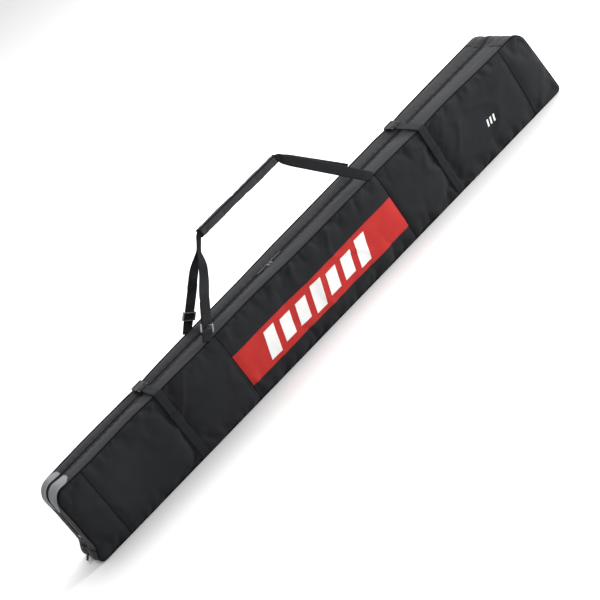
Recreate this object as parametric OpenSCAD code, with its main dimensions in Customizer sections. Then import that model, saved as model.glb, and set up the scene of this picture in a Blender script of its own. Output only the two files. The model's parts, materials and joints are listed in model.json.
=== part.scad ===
// Ski bag: a long padded bag, slightly deeper at its right end, with a full-length zip along its top,
// two compression straps with side-release buckles, and a webbing carrying handle with a padded grip.
// Origin: middle of the bottom face. +X along the bag, +Y from its front to its rear, +Z up.

/* [Bag] */
// Length from end to end
bag_length = 1900; // [1700:10:2000]
// Height from the bottom to the top edge
bag_height = 240; // [230:5:260]
// Depth, front to rear, at the left end
left_depth = 105; // [100:5:120]
// Depth, front to rear, at the right end
right_depth = 180; // [160:5:190]
// Radius of the front and rear panels' upper corners
corner_radius = 38; // [30:1:42]
// Radius of their lower corners
foot_radius = 16; // [12:1:24]
// Width of the front end panels
end_panel_w = 95; // [80:5:120]
// Left seam of the front centre panel
centre_left_x = -345; // [-360:5:-320]
// Right seam of the front centre panel
centre_right_x = 310; // [290:5:330]

/* [Cloth] */
// Thickness of the outer cloth on the front and rear
cloth_t = 1.2; // [1:0.1:1.2]
// Thickness of the foam padding
foam_t = 3; // [2:0.5:3]
// Thickness of the lining
lining_t = 0.8; // [0.5:0.1:0.8]
// Thickness of the gusset and the top flaps
gusset_t = 2; // [1.5:0.1:2]
// Diameter of the piping cord in the front and rear seams
piping_d = 4; // [3:0.5:4]

/* [Label] */
// Height of the label
label_h = 107; // [90:1:115]
// Height of the label's lower edge
label_z = 52; // [40:1:60]

/* [Zip] */
// Place of the zip across the top, as a share of the depth from the front
zip_place = 0.6; // [0.55:0.01:0.62]
// How far the top sinks at the zip
zip_sag = 6; // [4:0.5:6]
// Rest position of the left slider
left_slider_x = -75; // [-75:1:-72]
// Rest position of the right slider
right_slider_x = -50; // [-52:1:-50]

/* [Straps] */
// Width of the compression straps' webbing
strap_w = 25; // [20:1:25]
// Thickness of the webbing
strap_t = 1.5; // [1.2:0.1:1.5]
// Place of the left compression strap along the bag
left_strap_x = -565; // [-600:5:-540]
// Place of the right compression strap along the bag
right_strap_x = 510; // [480:5:560]

/* [Handle] */
// Height of the grip's middle above the floor
grip_z = 450; // [440:5:480]
// Place of the grip's middle along the bag
grip_x = -26; // [-40:1:0]
// Length of the grip
grip_length = 312; // [300:2:324]
// Width of the handle's webbing
handle_w = 30; // [25:1:30]
// Thickness of the handle's webbing
handle_t = 2; // [1.5:0.1:2]

/* [Hidden] */
$fn = 48;

charcoal = "#2b2d30";
gusset_grey = "#4a4c4f";
patch_grey = "#8a8a8e";
webbing_black = "#232527";
plastic_black = "#1b1c1e";
metal_grey = "#8f9296";

half_l = bag_length / 2;
mid_depth = (left_depth + right_depth) / 2;
taper = (right_depth - left_depth) / bag_length;
seam_gap = 0.1;
arc_steps = 8;

// Top flaps and the end gussets meet here, and the bottom panel meets the end gussets here
flap_end_x = half_l - 74;
gusset_top_x = half_l - 70;
gusset_foot_x = half_l - 50;
// The zip's slot in an end gusset starts this high
slot_z = 40;

// Chain: half width of one side with its centre gap, and half height
chain_gap = 0.4;
chain_w = 3.4;
chain_h = 1.2;
tape_t = 0.4;
tape_w = 16;
end_tape_w = 14;
flap_edge = 8;
flap_hinge_inset = 7.2;
flap_outer_inset = 6.6;
flap_top_z = bag_height - 2;

// Layers of the padded walls, counted inwards from the outer face
foam_in = cloth_t + seam_gap;
lining_in = foam_in + foam_t + seam_gap;
padding_inset = 8;
panel_inset = 4.2;
gusset_side = 3.6;
piping_r = piping_d / 2;
piping_in = 1.2;

// Depth of the bag and the lines that run along it
function depth(x) = mid_depth + taper * x;
function y_front(x) = -depth(x) / 2;
function y_rear(x) = depth(x) / 2;
function y_zip(x) = (zip_place - 0.5) * depth(x);
function z_zip(x) = bag_height - 3 - zip_sag * depth(x) / mid_depth;
function y_wall(side, inward, x) = side < 0 ? y_front(x) + inward : y_rear(x) - inward;

function flatten(lists) = [for (l = lists) for (v = l) v];
function unit(v) = v / norm(v);
function arc(cx, cz, r, from, to) = [
    for (i = [0 : arc_steps])
        let (a = from + (to - from) * i / arc_steps) [cx + r * cos(a), cz + r * sin(a)]
];

function total(v) = v * [for (x = v) 1];
// Six times the signed volume inside a set of faces, for turning a solid the right way out
function signed_volume(p, faces) = total([
    for (f = faces) total([for (i = [1 : len(f) - 2]) cross(p[f[i]], p[f[i + 1]]) * p[f[0]]])
]);

// A closed solid from rings of points, each ring with the same count
module skin(rings, loop = false) {
    n = len(rings[0]);
    m = len(rings);
    points = flatten(rings);
    last = loop ? m - 1 : m - 2;
    sides = [
        for (i = [0 : last])
            for (j = [0 : n - 1])
                let (a = i * n + j, b = i * n + (j + 1) % n)
                let (c = ((i + 1) % m) * n + (j + 1) % n, d = ((i + 1) % m) * n + j)
                each [[a, b, c], [a, c, d]]
    ];
    caps = loop ? [] : [[for (j = [n - 1 : -1 : 0]) j], [for (j = [0 : n - 1]) (m - 1) * n + j]];
    faces = concat(sides, caps);
    inside_out = signed_volume(points, faces) > 0;
    turned = inside_out ? [for (f = faces) [for (k = [len(f) - 1 : -1 : 0]) f[k]]] : faces;
    polyhedron(points = points, faces = turned, convexity = 8);
}

// Puts a shape drawn in a local frame at a place, with its x along ex and its y along ey
module place(at, ex, ey) {
    ez = cross(ex, ey);
    multmatrix([
        [ex.x, ey.x, ez.x, at.x],
        [ex.y, ey.y, ez.y, at.y],
        [ex.z, ey.z, ez.z, at.z],
        [0, 0, 0, 1]
    ]) children();
}

module rounded_rect(w, h, r) {
    square([w - 2 * r, h], center = true);
    square([w, h - 2 * r], center = true);
    for (x = [-1, 1])
        for (y = [-1, 1])
            translate([x * (w / 2 - r), y * (h / 2 - r)]) circle(r = r);
}

// ---- Panels of the front and rear walls ----

// Outline of a whole wall, in X and Z, drawn in from the bag's outline
function wall_outline(inset) =
    let (r = corner_radius - inset, cx = half_l - corner_radius, hi = bag_height - corner_radius)
    let (rf = foot_radius - inset, fx = half_l - foot_radius, lo = foot_radius)
    concat(arc(fx, lo, rf, -90, 0), arc(cx, hi, r, 0, 90), arc(-cx, hi, r, 90, 180), arc(-fx, lo, rf, 180, 270));

// Outline of an end panel: the wall's outline beyond a seam
function end_outline(side, seam_x, inset) =
    let (r = corner_radius - inset, cx = half_l - corner_radius, hi = bag_height - corner_radius)
    let (foot = arc(half_l - foot_radius, foot_radius, foot_radius - inset, -90, 0))
    let (right = concat(foot, arc(cx, hi, r, 0, 90)))
    concat([[side * seam_x, inset]], [for (p = right) [side * p[0], p[1]]], [[side * seam_x, bag_height - inset]]);

function strip_outline(x1, x2, inset) =
    [[x1, inset], [x2, inset], [x2, bag_height - inset], [x1, bag_height - inset]];

// A sheet in the front (-1) or rear (1) wall, between two depths from the outer face
module sheet(outline, side, from, to) {
    skin([for (inward = [from, to]) [for (p = outline) [p[0], y_wall(side, inward, p[0]), p[1]]]]);
}

module front_centre_panel() {
    color(charcoal)
        sheet(strip_outline(centre_left_x + seam_gap, centre_right_x - seam_gap, panel_inset), -1, 0, cloth_t);
}

module front_left_panel() {
    color(charcoal)
        sheet(strip_outline(end_panel_w - half_l, centre_left_x, panel_inset), -1, 0, cloth_t);
}

module front_right_panel() {
    color(charcoal)
        sheet(strip_outline(centre_right_x, half_l - end_panel_w, panel_inset), -1, 0, cloth_t);
}

module front_left_end_panel() {
    color(charcoal)
        sheet(end_outline(-1, half_l - end_panel_w + seam_gap, panel_inset), -1, 0, cloth_t);
}

module front_right_end_panel() {
    color(charcoal)
        sheet(end_outline(1, half_l - end_panel_w + seam_gap, panel_inset), -1, 0, cloth_t);
}

module rear_panel() {
    color(charcoal) sheet(wall_outline(panel_inset), 1, 0, cloth_t);
}

module wall_foam(side) {
    color("#d8d8d4") sheet(wall_outline(padding_inset), side, foam_in, foam_in + foam_t);
}

module wall_lining(side) {
    color("#55575b") sheet(wall_outline(padding_inset), side, lining_in, lining_in + lining_t);
}

module red_label() {
    color("#d03834")
        skin([for (inward = [-0.9, -0.1]) [
            for (p = [
                [centre_left_x + 2, label_z], [centre_right_x - 2, label_z],
                [centre_right_x - 2, label_z + label_h], [centre_left_x + 2, label_z + label_h]
            ]) [p[0], y_front(p[0]) + inward, p[1]]
        ]]);
}

// Piping cord in the seam between a wall and the gusset, a closed loop round the wall
module piping(side) {
    centre = wall_outline(piping_r);
    normal = wall_outline(piping_r - 1);
    color(plastic_black)
        skin([
            for (i = [0 : len(centre) - 1])
                let (out = normal[i] - centre[i], y = y_wall(side, piping_in, centre[i][0]))
                [for (k = [0 : 7])
                    let (a = 45 * k, c = piping_r * cos(a), s = piping_r * sin(a))
                    [centre[i][0] + out[0] * c, y + s, centre[i][1] + out[1] * c]]
        ], loop = true);
}

// ---- Gusset: bottom, ends and corner patches ----

// The gusset's line round one end, from the bottom to the top, drawn in from the bag's outline
function end_path(side, inset, foot_z = 0) =
    let (r = corner_radius - inset, cx = half_l - corner_radius, hi = bag_height - corner_radius)
    let (corner = arc(half_l - foot_radius, foot_radius, foot_radius - inset, -90, 0))
    let (foot = foot_z > 0 ? [[half_l - inset, foot_z]]
        : concat([[gusset_foot_x, inset]], corner, [[half_l - inset, slot_z]]))
    let (top = concat([[half_l - inset, max(slot_z, foot_z) + 1]], arc(cx, hi, r, 0, 90), [[gusset_top_x, bag_height - inset]]))
    [for (p = concat(foot, top)) [side * p[0], p[1]]];

// A strip of cloth round one end, between two lines that run along the bag
module end_strip(outer, inner, y_lo, y_hi) {
    skin([
        for (i = [0 : len(outer) - 1])
            let (a = outer[i], b = inner[i])
            [
                [a[0], y_lo(a[0], a[1]), a[1]], [a[0], y_hi(a[0], a[1]), a[1]],
                [b[0], y_hi(b[0], a[1]), b[1]], [b[0], y_lo(b[0], a[1]), b[1]]
            ]
    ]);
}

slot_half_w = 7.5;

// Front half of an end gusset, with the foot below the zip's slot
module end_gusset_front(side) {
    color(gusset_grey)
        end_strip(
            end_path(side, 0), end_path(side, gusset_t),
            function(x, z) y_front(x) + gusset_side,
            function(x, z) z <= slot_z ? y_rear(x) - gusset_side : y_zip(x) - slot_half_w
        );
}

module end_gusset_rear(side) {
    color(gusset_grey)
        end_strip(
            end_path(side, 0, slot_z + 1.2), end_path(side, gusset_t, slot_z + 1.2),
            function(x, z) y_zip(x) + slot_half_w,
            function(x, z) y_rear(x) - gusset_side
        );
}

module bottom_panel() {
    x = gusset_foot_x - seam_gap;
    color(gusset_grey)
        skin([for (z = [0, gusset_t]) [
            for (c = [[-x, -1], [x, -1], [x, 1], [-x, 1]]) [c[0], y_wall(c[1], gusset_side, c[0]), z]
        ]]);
}

// Grey reinforcement on either side of the zip at the top left corner
module corner_patches() {
    skin_out = -0.8;
    skin_in = -0.1;
    path = function(inset) concat(
        [[-half_l + inset, 170]],
        [for (p = arc(half_l - corner_radius, bag_height - corner_radius, corner_radius - inset, 0, 90)) [-p[0], p[1]]],
        [[-gusset_top_x, bag_height - inset]]
    );
    color(patch_grey) {
        end_strip(path(skin_out), path(skin_in),
            function(x, z) y_front(x) + gusset_side + 2, function(x, z) y_zip(x) - slot_half_w - 0.5);
        end_strip(path(skin_out), path(skin_in),
            function(x, z) y_zip(x) + slot_half_w + 0.5, function(x, z) y_rear(x) - gusset_side - 2);
    }
}

// ---- Zip ----

// Chain and tapes round one end: the profile of each side swept along the gusset
module end_zip(side) {
    chain_mid = 2.6;
    start_z = slot_z + 4;
    line = function(inset)
        let (r = corner_radius - inset, cx = half_l - corner_radius, hi = bag_height - corner_radius)
        [for (p = concat([[half_l - inset, start_z]], arc(cx, hi, r, 0, 90), [[gusset_top_x, bag_height - inset]]))
            [side * p[0], p[1]]];
    tape_out = line(chain_mid - tape_t);
    tape_in = line(chain_mid + tape_t);
    chain_out = line(chain_mid - chain_h);
    chain_in = line(chain_mid + chain_h);
    color(plastic_black)
        for (s = [-1, 1])
            skin([
                for (i = [0 : len(tape_out) - 1])
                    let (to = tape_out[i], ti = tape_in[i], co = chain_out[i], ci = chain_in[i])
                    let (at = function(p, y) [p[0], y_zip(p[0]) + s * y, p[1]])
                    [
                        at(to, end_tape_w), at(to, chain_w), at(co, chain_w), at(co, chain_gap),
                        at(ci, chain_gap), at(ci, chain_w), at(ti, chain_w), at(ti, end_tape_w)
                    ]
            ]);
}

// A straight strip along the zip on the top, on its front (-1) or rear (1) side
module zip_strip(side, x1, x2, y_near, y_far, z_lo, z_hi) {
    skin([for (x = [x1, x2]) [
        [x, y_zip(x) + side * y_near, z_zip(x) + z_lo], [x, y_zip(x) + side * y_far, z_zip(x) + z_lo],
        [x, y_zip(x) + side * y_far, z_zip(x) + z_hi], [x, y_zip(x) + side * y_near, z_zip(x) + z_hi]
    ]]);
}

// The closed sliders sit in this stretch, and the rear side of the zip leaves room for them to swing out
notch_lo_x = left_slider_x - 15;
notch_hi_x = right_slider_x + 16;

module front_zip_chain() {
    color(plastic_black) zip_strip(-1, -flap_end_x, flap_end_x, chain_gap, chain_w, -chain_h, chain_h);
}

module rear_zip_chain() {
    color(plastic_black) {
        zip_strip(1, -flap_end_x, notch_lo_x, chain_gap, chain_w, -chain_h, chain_h);
        zip_strip(1, notch_hi_x, flap_end_x, chain_gap, chain_w, -chain_h, chain_h);
    }
}

module front_zip_tape() {
    color(webbing_black) zip_strip(-1, -flap_end_x, flap_end_x, chain_w + seam_gap, tape_w, -tape_t, tape_t);
}

module rear_zip_tape() {
    color(webbing_black) {
        zip_strip(1, -flap_end_x, notch_lo_x, chain_w + seam_gap, tape_w, -tape_t, tape_t);
        zip_strip(1, notch_lo_x, notch_hi_x, flap_edge - 0.5, tape_w, -tape_t, tape_t);
        zip_strip(1, notch_hi_x, flap_end_x, chain_w + seam_gap, tape_w, -tape_t, tape_t);
    }
}

// Top flap from the wall's seam down to the zip, on the front (-1) or rear (1) side
module top_flap(side) {
    lift = tape_t + seam_gap;
    color(gusset_grey)
        skin([for (x = [-flap_end_x, flap_end_x]) [
            [x, y_wall(side, flap_outer_inset, x), flap_top_z - gusset_t],
            [x, y_wall(side, flap_outer_inset, x), flap_top_z],
            [x, y_zip(x) + side * flap_edge, z_zip(x) + lift + gusset_t],
            [x, y_zip(x) + side * flap_edge, z_zip(x) + lift]
        ]]);
}

// Slider, in its own frame: x along the chain towards its head, z out of the bag
bridge_x = -1;
pivot_h = 4.7;

module slider_body() {
    plate_in = chain_h + 0.4;
    plate_out = plate_in + 1.5;
    half_w = 6.2;
    color(metal_grey)
        difference() {
            union() {
                for (s = [-1, 1]) {
                    translate([-11, -half_w, s > 0 ? plate_in : -plate_out]) cube([22, 2 * half_w, 1.5]);
                    for (y = [-half_w, half_w - 1.2])
                        translate([-11, y, s > 0 ? 0.8 : -plate_out]) cube([22, 1.2, plate_out - 0.8]);
                }
                translate([4, -0.25, -plate_out]) cube([6, 0.5, 2 * plate_out]);
                translate([bridge_x - 4.2, -1.5, plate_in]) cube([8.4, 3, 7 - plate_in]);
            }
            translate([bridge_x - 3, -2, plate_out]) cube([6, 4, 6 - plate_out]);
            for (y = [-1, 1])
                translate([-12, y * (half_w + 6.2), 0]) rotate([0, 0, y * -6]) cube([30, 12, 12], center = true);
        }
}

// Pull of a slider: two arms on a small axle under the bridge, and a long moulded tab
module pull_body() {
    tab_t = 1.4;
    color(plastic_black)
        translate([bridge_x, 0, pivot_h]) {
            rotate([90, 0, 0]) cylinder(r = 0.9, h = 7, center = true);
            for (y = [-3.5, 2]) {
                translate([0, y + 1.5, 0]) rotate([90, 0, 0]) cylinder(r = 1.3, h = 1.5);
                translate([-9, y, -tab_t / 2]) cube([9, 1.5, tab_t]);
            }
            difference() {
                translate([-20, 0, 0]) linear_extrude(tab_t, center = true) rounded_rect(28, 7.6, 2);
                translate([-30.5, 0, 0]) cylinder(r = 1.6, h = 4, center = true);
                translate([-3, 0, 0]) cube([7, 4, 4], center = true);
            }
        }
}

zip_slope_y = (zip_place - 0.5) * taper;
zip_slope_z = -zip_sag * taper / mid_depth;

// Puts a slider's frame on the top zip, with its head to the right (1) or to the left (-1)
module on_top_zip(x, head) {
    along = unit([1, zip_slope_y, zip_slope_z]);
    across = unit(cross([0, 0, 1], along));
    place([x, y_zip(x), z_zip(x)], head * along, head * across) children();
}

// Puts a slider's frame on the zip down the left end, with its head up
corner_slider_z = 66;
module on_end_zip() {
    x = 2.6 - half_l;
    place([x, y_zip(x), corner_slider_z], [0, 0, 1], [0, 1, 0]) children();
}

// Short webbing tab below the end zip, to hold while the zip is drawn
module corner_tab() {
    y = y_zip(-half_l);
    w = 6;
    route = [[-half_l - 0.1, 24], [-half_l - 1.6, 19], [-half_l - 6, 13], [-half_l - 12, 6]];
    color(webbing_black)
        skin([
            for (i = [0 : len(route) - 1])
                let (p = route[i], q = p + [-1.4, -0.5])
                [[p[0], y - w, p[1]], [p[0], y + w, p[1]], [q[0], y + w, q[1]], [q[0], y - w, q[1]]]
        ]);
}

// ---- Compression straps ----

// A route point is [side, inward, z]: side -1 counts inward from the front face and 1 from the rear
// face, and side 0 gives y itself
function route_y(p, x) = p[0] == 0 ? p[1] : y_wall(p[0], p[1], x);
function route_flat(p, x) = [route_y(p, x), p[2]];

// Webbing laid along a route across the bag, centred on x
module webbing(route, x, w, t) {
    flat = [for (p = route) route_flat(p, x)];
    last = len(flat) - 1;
    skin([
        for (i = [0 : last])
            let (tangent = unit(flat[min(i + 1, last)] - flat[max(i - 1, 0)]))
            let (out = [tangent[1], -tangent[0]] * t / 2)
            [for (c = [[-1, -1], [1, -1], [1, 1], [-1, 1]])
                let (xs = x + c[0] * w / 2)
                [xs, route_y(route[i], xs) + out[0] * c[1], route[i][2] + out[1] * c[1]]]
    ]);
}

// Buckle, in its own frame: origin at the mouth of the female half, on the floor of its housing,
// with y towards the female half
buckle_z = bag_height + 0.2;
female_length = 31;
function mouth_y(x) = y_rear(x) - female_length - 10;

// The edge of the bag, as the straps pass over it
function edge_route(side) = [
    [side, -2.6, bag_height - 8], [side, -2.0, bag_height - 1.4],
    [side, -0.6, bag_height + 0.6], [side, 2.5, bag_height + 1.3]
];

function face_route(side) = [[side, -1.3, 6], [side, -2.6, 40], [side, -3.2, 120], [side, -2.9, 200]];

module front_strap(x) {
    color(webbing_black)
        webbing(concat(face_route(-1), edge_route(-1), [[0, mouth_y(x) - 5, bag_height + 1.3]]), x, strap_w, strap_t);
}

module rear_strap(x) {
    color(webbing_black)
        webbing(concat(face_route(1), edge_route(1), [[0, mouth_y(x) + 24.5, bag_height + 1.3]]), x, strap_w, strap_t);
}

// Free end of the strap, back from the buckle and down to its keeper
module strap_tail(x) {
    route = [
        [0, mouth_y(x) - 43.5, bag_height + 3.9],
        [-1, 14, bag_height + 3.6], [-1, 5, bag_height + 3.3], [-1, -1.8, bag_height + 2.2],
        [-1, -4.2, bag_height - 0.6], [-1, -4.6, 232], [-1, -4.9, 200], [-1, -5.1, 160], [-1, -4.9, 128]
    ];
    color(webbing_black) webbing(route, x, strap_w, strap_t);
}

// Elastic loops that hold the free ends down
module strap_keepers() {
    for (x = [left_strap_x, right_strap_x])
        color(plastic_black)
            place([x, y_front(x), 150], unit([1, -taper / 2, 0]), unit([taper / 2, 1, 0]))
                difference() {
                    translate([-14.8, -7.2, 0]) cube([29.6, 6.7, 16]);
                    translate([-13.2, -6.2, -1]) cube([26.4, 4.6, 18]);
                }
}

module buckle_female(x) {
    color(plastic_black)
        translate([x, mouth_y(x), buckle_z])
            difference() {
                translate([0, female_length / 2, 0]) linear_extrude(8) rounded_rect(36, female_length, 4);
                translate([-20, -1, 1.8]) cube([40, 21.4, 4.8]);
                translate([-13.5, 22.5, -1]) cube([27, 4, 10]);
                translate([-13.5, 26, -1]) cube([27, 6, 3.2]);
            }
}

male_z = 2.2;

module buckle_male(x) {
    color(plastic_black)
        translate([x, mouth_y(x), buckle_z + male_z])
            difference() {
                union() {
                    translate([0, -9.2, 0]) linear_extrude(5) rounded_rect(34, 17.6, 3);
                    translate([-3.5, -2, 0]) cube([7, 16, 4]);
                }
                for (y = [-15, -9]) translate([-13.5, y, -1]) cube([27, 3, 7]);
                for (s = [-1, 1]) {
                    translate([s * 9.5, -2.4, -1]) cylinder(r = 2.3, h = 7);
                    translate([s * 9.5 - 2.3, -2.4, -1]) cube([4.6, 4, 7]);
                }
            }
}

// One arm of the male half, with the button at its tip; side -1 is the left arm
module buckle_prong(x, side) {
    color(plastic_black)
        translate([x, mouth_y(x), buckle_z + male_z + 0.2])
            mirror([side < 0 ? 1 : 0, 0, 0])
                linear_extrude(3.8) {
                    translate([9.5, -2.4]) circle(r = 2);
                    polygon([
                        [8.1, -2.4], [10.9, -2.4], [12.4, 9], [16.9, 9.6], [17.3, 13], [15.2, 17], [11.6, 19.4], [9.4, 19.4]
                    ]);
                }
}

// ---- Carrying handle ----

// One end of the handle: where it is sewn on [x, y], the side of the bag (-1 front, 1 rear)
anchor_front_right = [300, -1];
anchor_rear_right = [324, 1];
anchor_front_left = [-366, -1];
anchor_rear_left = [-357, 1];
// The lower part of the webbing, up to this height, belongs to the bag, and the rest to the handle
split_z = 345;
grip_end_x = grip_length / 2;
grip_y = 1.6;

function anchor_point(a) = [a[0], y_wall(a[1], piping_in, a[0]), bag_height + 0.6];
function grip_point(a) = [grip_x + sign(a[0]) * grip_end_x, a[1] * grip_y, grip_z];
// Point on the straight line from the anchor to the grip, at a height
function handle_point(a, z) =
    let (p = anchor_point(a), q = grip_point(a)) p + (q - p) * (z - p.z) / (q.z - p.z);
// Direction of the webbing's width, turned up from the seam as the webbing climbs to the grip
function handle_across(a, turn) = [cos(turn), 0, sign(a[0]) * sin(turn)];

// Webbing through stations of [point, across, width]; its flat side looks along y
module handle_band(stations, t) {
    last = len(stations) - 1;
    skin([
        for (i = [0 : last])
            let (s = stations[i])
            let (run = unit(stations[min(i + 1, last)][0] - stations[max(i - 1, 0)][0]))
            let (out = unit(cross(run, s[1])) * t / 2, side = s[1] * s[2] / 2)
            [s[0] - side - out, s[0] + side - out, s[0] + side + out, s[0] - side + out]
    ]);
}

// Stations from the split up to the end of the grip
function upper_stations(a) = [
    [handle_point(a, split_z + 1), handle_across(a, 35), handle_w],
    [handle_point(a, 420), handle_across(a, 40), handle_w],
    [handle_point(a, grip_z - 14), handle_across(a, 60), handle_w - 5],
    [grip_point(a) + [sign(a[0]) * 5, a[1], -3], handle_across(a, 80), 20],
    [grip_point(a), handle_across(a, 90), 18]
];

function reversed(v) = [for (i = [len(v) - 1 : -1 : 0]) v[i]];

module handle_webbing(right, left) {
    up = upper_stations(right);
    down = reversed([for (s = upper_stations(left)) [s[0], -s[1], s[2]]]);
    color(webbing_black) handle_band(concat(up, down), handle_t);
}

// The sewn-down lower part of one end of the handle
module handle_anchor(a, from_z) {
    color(webbing_black)
        handle_band([
            [handle_point(a, from_z), handle_across(a, from_z > 250 ? 35 : 0), handle_w],
            [handle_point(a, max(from_z + 14, 262)), handle_across(a, 30), handle_w],
            [handle_point(a, split_z - 1), handle_across(a, 35), handle_w]
        ], handle_t);
}

// Frame at a height on one end of the handle: x across the webbing and y along it
module on_handle(a, z) {
    along = unit(grip_point(a) - anchor_point(a));
    across = handle_across(a, 35);
    square_across = unit(across - (across * along) * along);
    place(handle_point(a, z), square_across, along) children();
}

ring_z = 258;

module handle_tab() {
    color(webbing_black)
        handle_band([
            [handle_point(anchor_front_left, bag_height + 0.6), handle_across(anchor_front_left, 0), handle_w],
            [handle_point(anchor_front_left, ring_z - 5.5), handle_across(anchor_front_left, 30), handle_w]
        ], handle_t);
}

// Rectangular ring that joins the front left webbing to its tab
module handle_ring() {
    color(metal_grey)
        on_handle(anchor_front_left, ring_z)
            translate([0, 10, 0])
                difference() {
                    linear_extrude(3, center = true) rounded_rect(39, 23, 3);
                    linear_extrude(4, center = true) rounded_rect(32, 16, 1);
                }
}

adjuster_z = 276;

// Sliding adjuster on the rear left webbing: two rails, two bars outside the webbing and one inside
module strap_adjuster() {
    clear = handle_t / 2 + 0.4;
    color(metal_grey)
        on_handle(anchor_rear_left, adjuster_z) {
            for (s = [-1, 1]) translate([s * 17.5, 0, 0]) cube([3, 24, 2 * clear + 4], center = true);
            for (s = [-1, 1]) translate([0, s * 10.5, clear + 1]) cube([36, 3, 2], center = true);
            translate([0, 0, -clear - 1]) cube([36, 4, 2], center = true);
        }
}

module grip_wrap() {
    color("#3a3c3f")
        place([grip_x, 0, grip_z], [0, 1, 0], [0, 0, 1])
            difference() {
                linear_extrude(grip_length - 2, center = true) rounded_rect(19, 25, 8);
                linear_extrude(grip_length, center = true) rounded_rect(6.6, 19.4, 1);
            }
}

front_centre_panel();
front_left_panel();
front_right_panel();
front_left_end_panel();
front_right_end_panel();
wall_foam(-1);  // front_foam
wall_lining(-1);  // front_lining
rear_panel();
wall_foam(1);  // rear_foam
wall_lining(1);  // rear_lining
bottom_panel();
end_gusset_front(-1);  // left_end_gusset_front
end_gusset_rear(-1);  // left_end_gusset_rear
end_gusset_front(1);  // right_end_gusset_front
end_gusset_rear(1);  // right_end_gusset_rear
piping(-1);  // front_piping
piping(1);  // rear_piping
red_label();
end_zip(-1);  // left_end_zip
end_zip(1);  // right_end_zip
corner_patches();
corner_tab();
front_strap(left_strap_x);  // left_strap
front_strap(right_strap_x);  // right_strap
strap_tail(left_strap_x);  // left_strap_tail
strap_tail(right_strap_x);  // right_strap_tail
strap_keepers();
rear_strap(left_strap_x);  // left_rear_strap
rear_strap(right_strap_x);  // right_rear_strap
buckle_female(left_strap_x);  // left_buckle_female
buckle_female(right_strap_x);  // right_buckle_female
handle_anchor(anchor_front_right, bag_height + 0.6);  // handle_anchor_front_right
handle_anchor(anchor_rear_right, bag_height + 0.6);  // handle_anchor_rear_right
handle_anchor(anchor_front_left, ring_z + 28);  // handle_anchor_front_left
handle_anchor(anchor_rear_left, bag_height + 0.6);  // handle_anchor_rear_left
handle_tab();
top_flap(-1);  // front_flap
front_zip_tape();
front_zip_chain();
top_flap(1);  // rear_flap
rear_zip_tape();
rear_zip_chain();
on_top_zip(left_slider_x, 1) slider_body();  // left_slider
on_top_zip(right_slider_x, -1) slider_body();  // right_slider
on_end_zip() slider_body();  // corner_slider
on_top_zip(left_slider_x, 1) pull_body();  // left_pull
on_top_zip(right_slider_x, -1) pull_body();  // right_pull
on_end_zip() pull_body();  // corner_pull
buckle_male(left_strap_x);  // left_buckle_male
buckle_prong(left_strap_x, -1);  // left_prong_a
buckle_prong(left_strap_x, 1);  // left_prong_b
buckle_male(right_strap_x);  // right_buckle_male
buckle_prong(right_strap_x, -1);  // right_prong_a
buckle_prong(right_strap_x, 1);  // right_prong_b
handle_webbing(anchor_front_right, anchor_front_left);  // front_handle_webbing
handle_webbing(anchor_rear_right, anchor_rear_left);  // rear_handle_webbing
grip_wrap();
handle_ring();
strap_adjuster();
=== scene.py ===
"""Looks of the ski bag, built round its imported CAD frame. Metres; +X along the bag, +Y to its rear, +Z up."""
import json
import math

import bmesh
import bpy
import numpy as np
from mathutils import Matrix, Vector


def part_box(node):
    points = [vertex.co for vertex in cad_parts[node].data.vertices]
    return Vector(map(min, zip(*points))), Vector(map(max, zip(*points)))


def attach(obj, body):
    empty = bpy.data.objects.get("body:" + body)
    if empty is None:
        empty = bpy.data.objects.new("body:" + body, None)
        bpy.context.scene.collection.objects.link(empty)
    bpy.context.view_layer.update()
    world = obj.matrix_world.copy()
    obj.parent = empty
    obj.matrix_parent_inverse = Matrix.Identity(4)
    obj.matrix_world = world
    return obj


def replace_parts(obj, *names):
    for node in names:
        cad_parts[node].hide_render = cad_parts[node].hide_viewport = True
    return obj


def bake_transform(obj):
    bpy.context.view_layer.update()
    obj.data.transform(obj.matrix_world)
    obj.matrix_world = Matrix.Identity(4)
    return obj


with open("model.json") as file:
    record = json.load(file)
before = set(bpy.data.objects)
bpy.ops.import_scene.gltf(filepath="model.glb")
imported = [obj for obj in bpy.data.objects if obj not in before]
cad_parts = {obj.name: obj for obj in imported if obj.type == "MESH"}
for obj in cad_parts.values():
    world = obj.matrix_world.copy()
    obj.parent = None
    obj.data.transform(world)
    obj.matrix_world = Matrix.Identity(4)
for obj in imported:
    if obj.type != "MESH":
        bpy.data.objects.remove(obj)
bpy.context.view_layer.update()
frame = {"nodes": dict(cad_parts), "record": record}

MM = 0.001

# ---- Camera, at the photograph's viewing angle ----

CAMERA_AZIMUTH = math.radians(22.08)
CAMERA_ELEVATION = math.radians(25.83)
CAMERA_ROLL = math.radians(-36.08)
CAMERA_DISTANCE = 4.9166
CAMERA_TARGET = Vector((-0.0588, 0, 0.0936))


def place_object(name, data):
    thing = bpy.data.objects.new(name, data)
    bpy.context.scene.collection.objects.link(thing)
    return thing


def make_camera():
    cos_el = math.cos(CAMERA_ELEVATION)
    ahead = (math.sin(CAMERA_AZIMUTH), math.cos(CAMERA_AZIMUTH))
    forward = Vector((ahead[0] * cos_el, ahead[1] * cos_el, -math.sin(CAMERA_ELEVATION)))
    level = forward.cross(Vector((0, 0, 1))).normalized()
    upright = level.cross(forward)
    right = level * math.cos(CAMERA_ROLL) + upright * math.sin(CAMERA_ROLL)
    up = right.cross(forward)
    camera = place_object("camera", bpy.data.cameras.new("camera"))
    camera.data.lens = 106.2
    camera.data.sensor_width = 36
    camera.data.clip_end = 60
    axes = Matrix((right, up, -forward)).transposed().to_4x4()
    camera.matrix_world = Matrix.Translation(CAMERA_TARGET - forward * CAMERA_DISTANCE) @ axes
    bpy.context.scene.camera = camera


make_camera()

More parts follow.
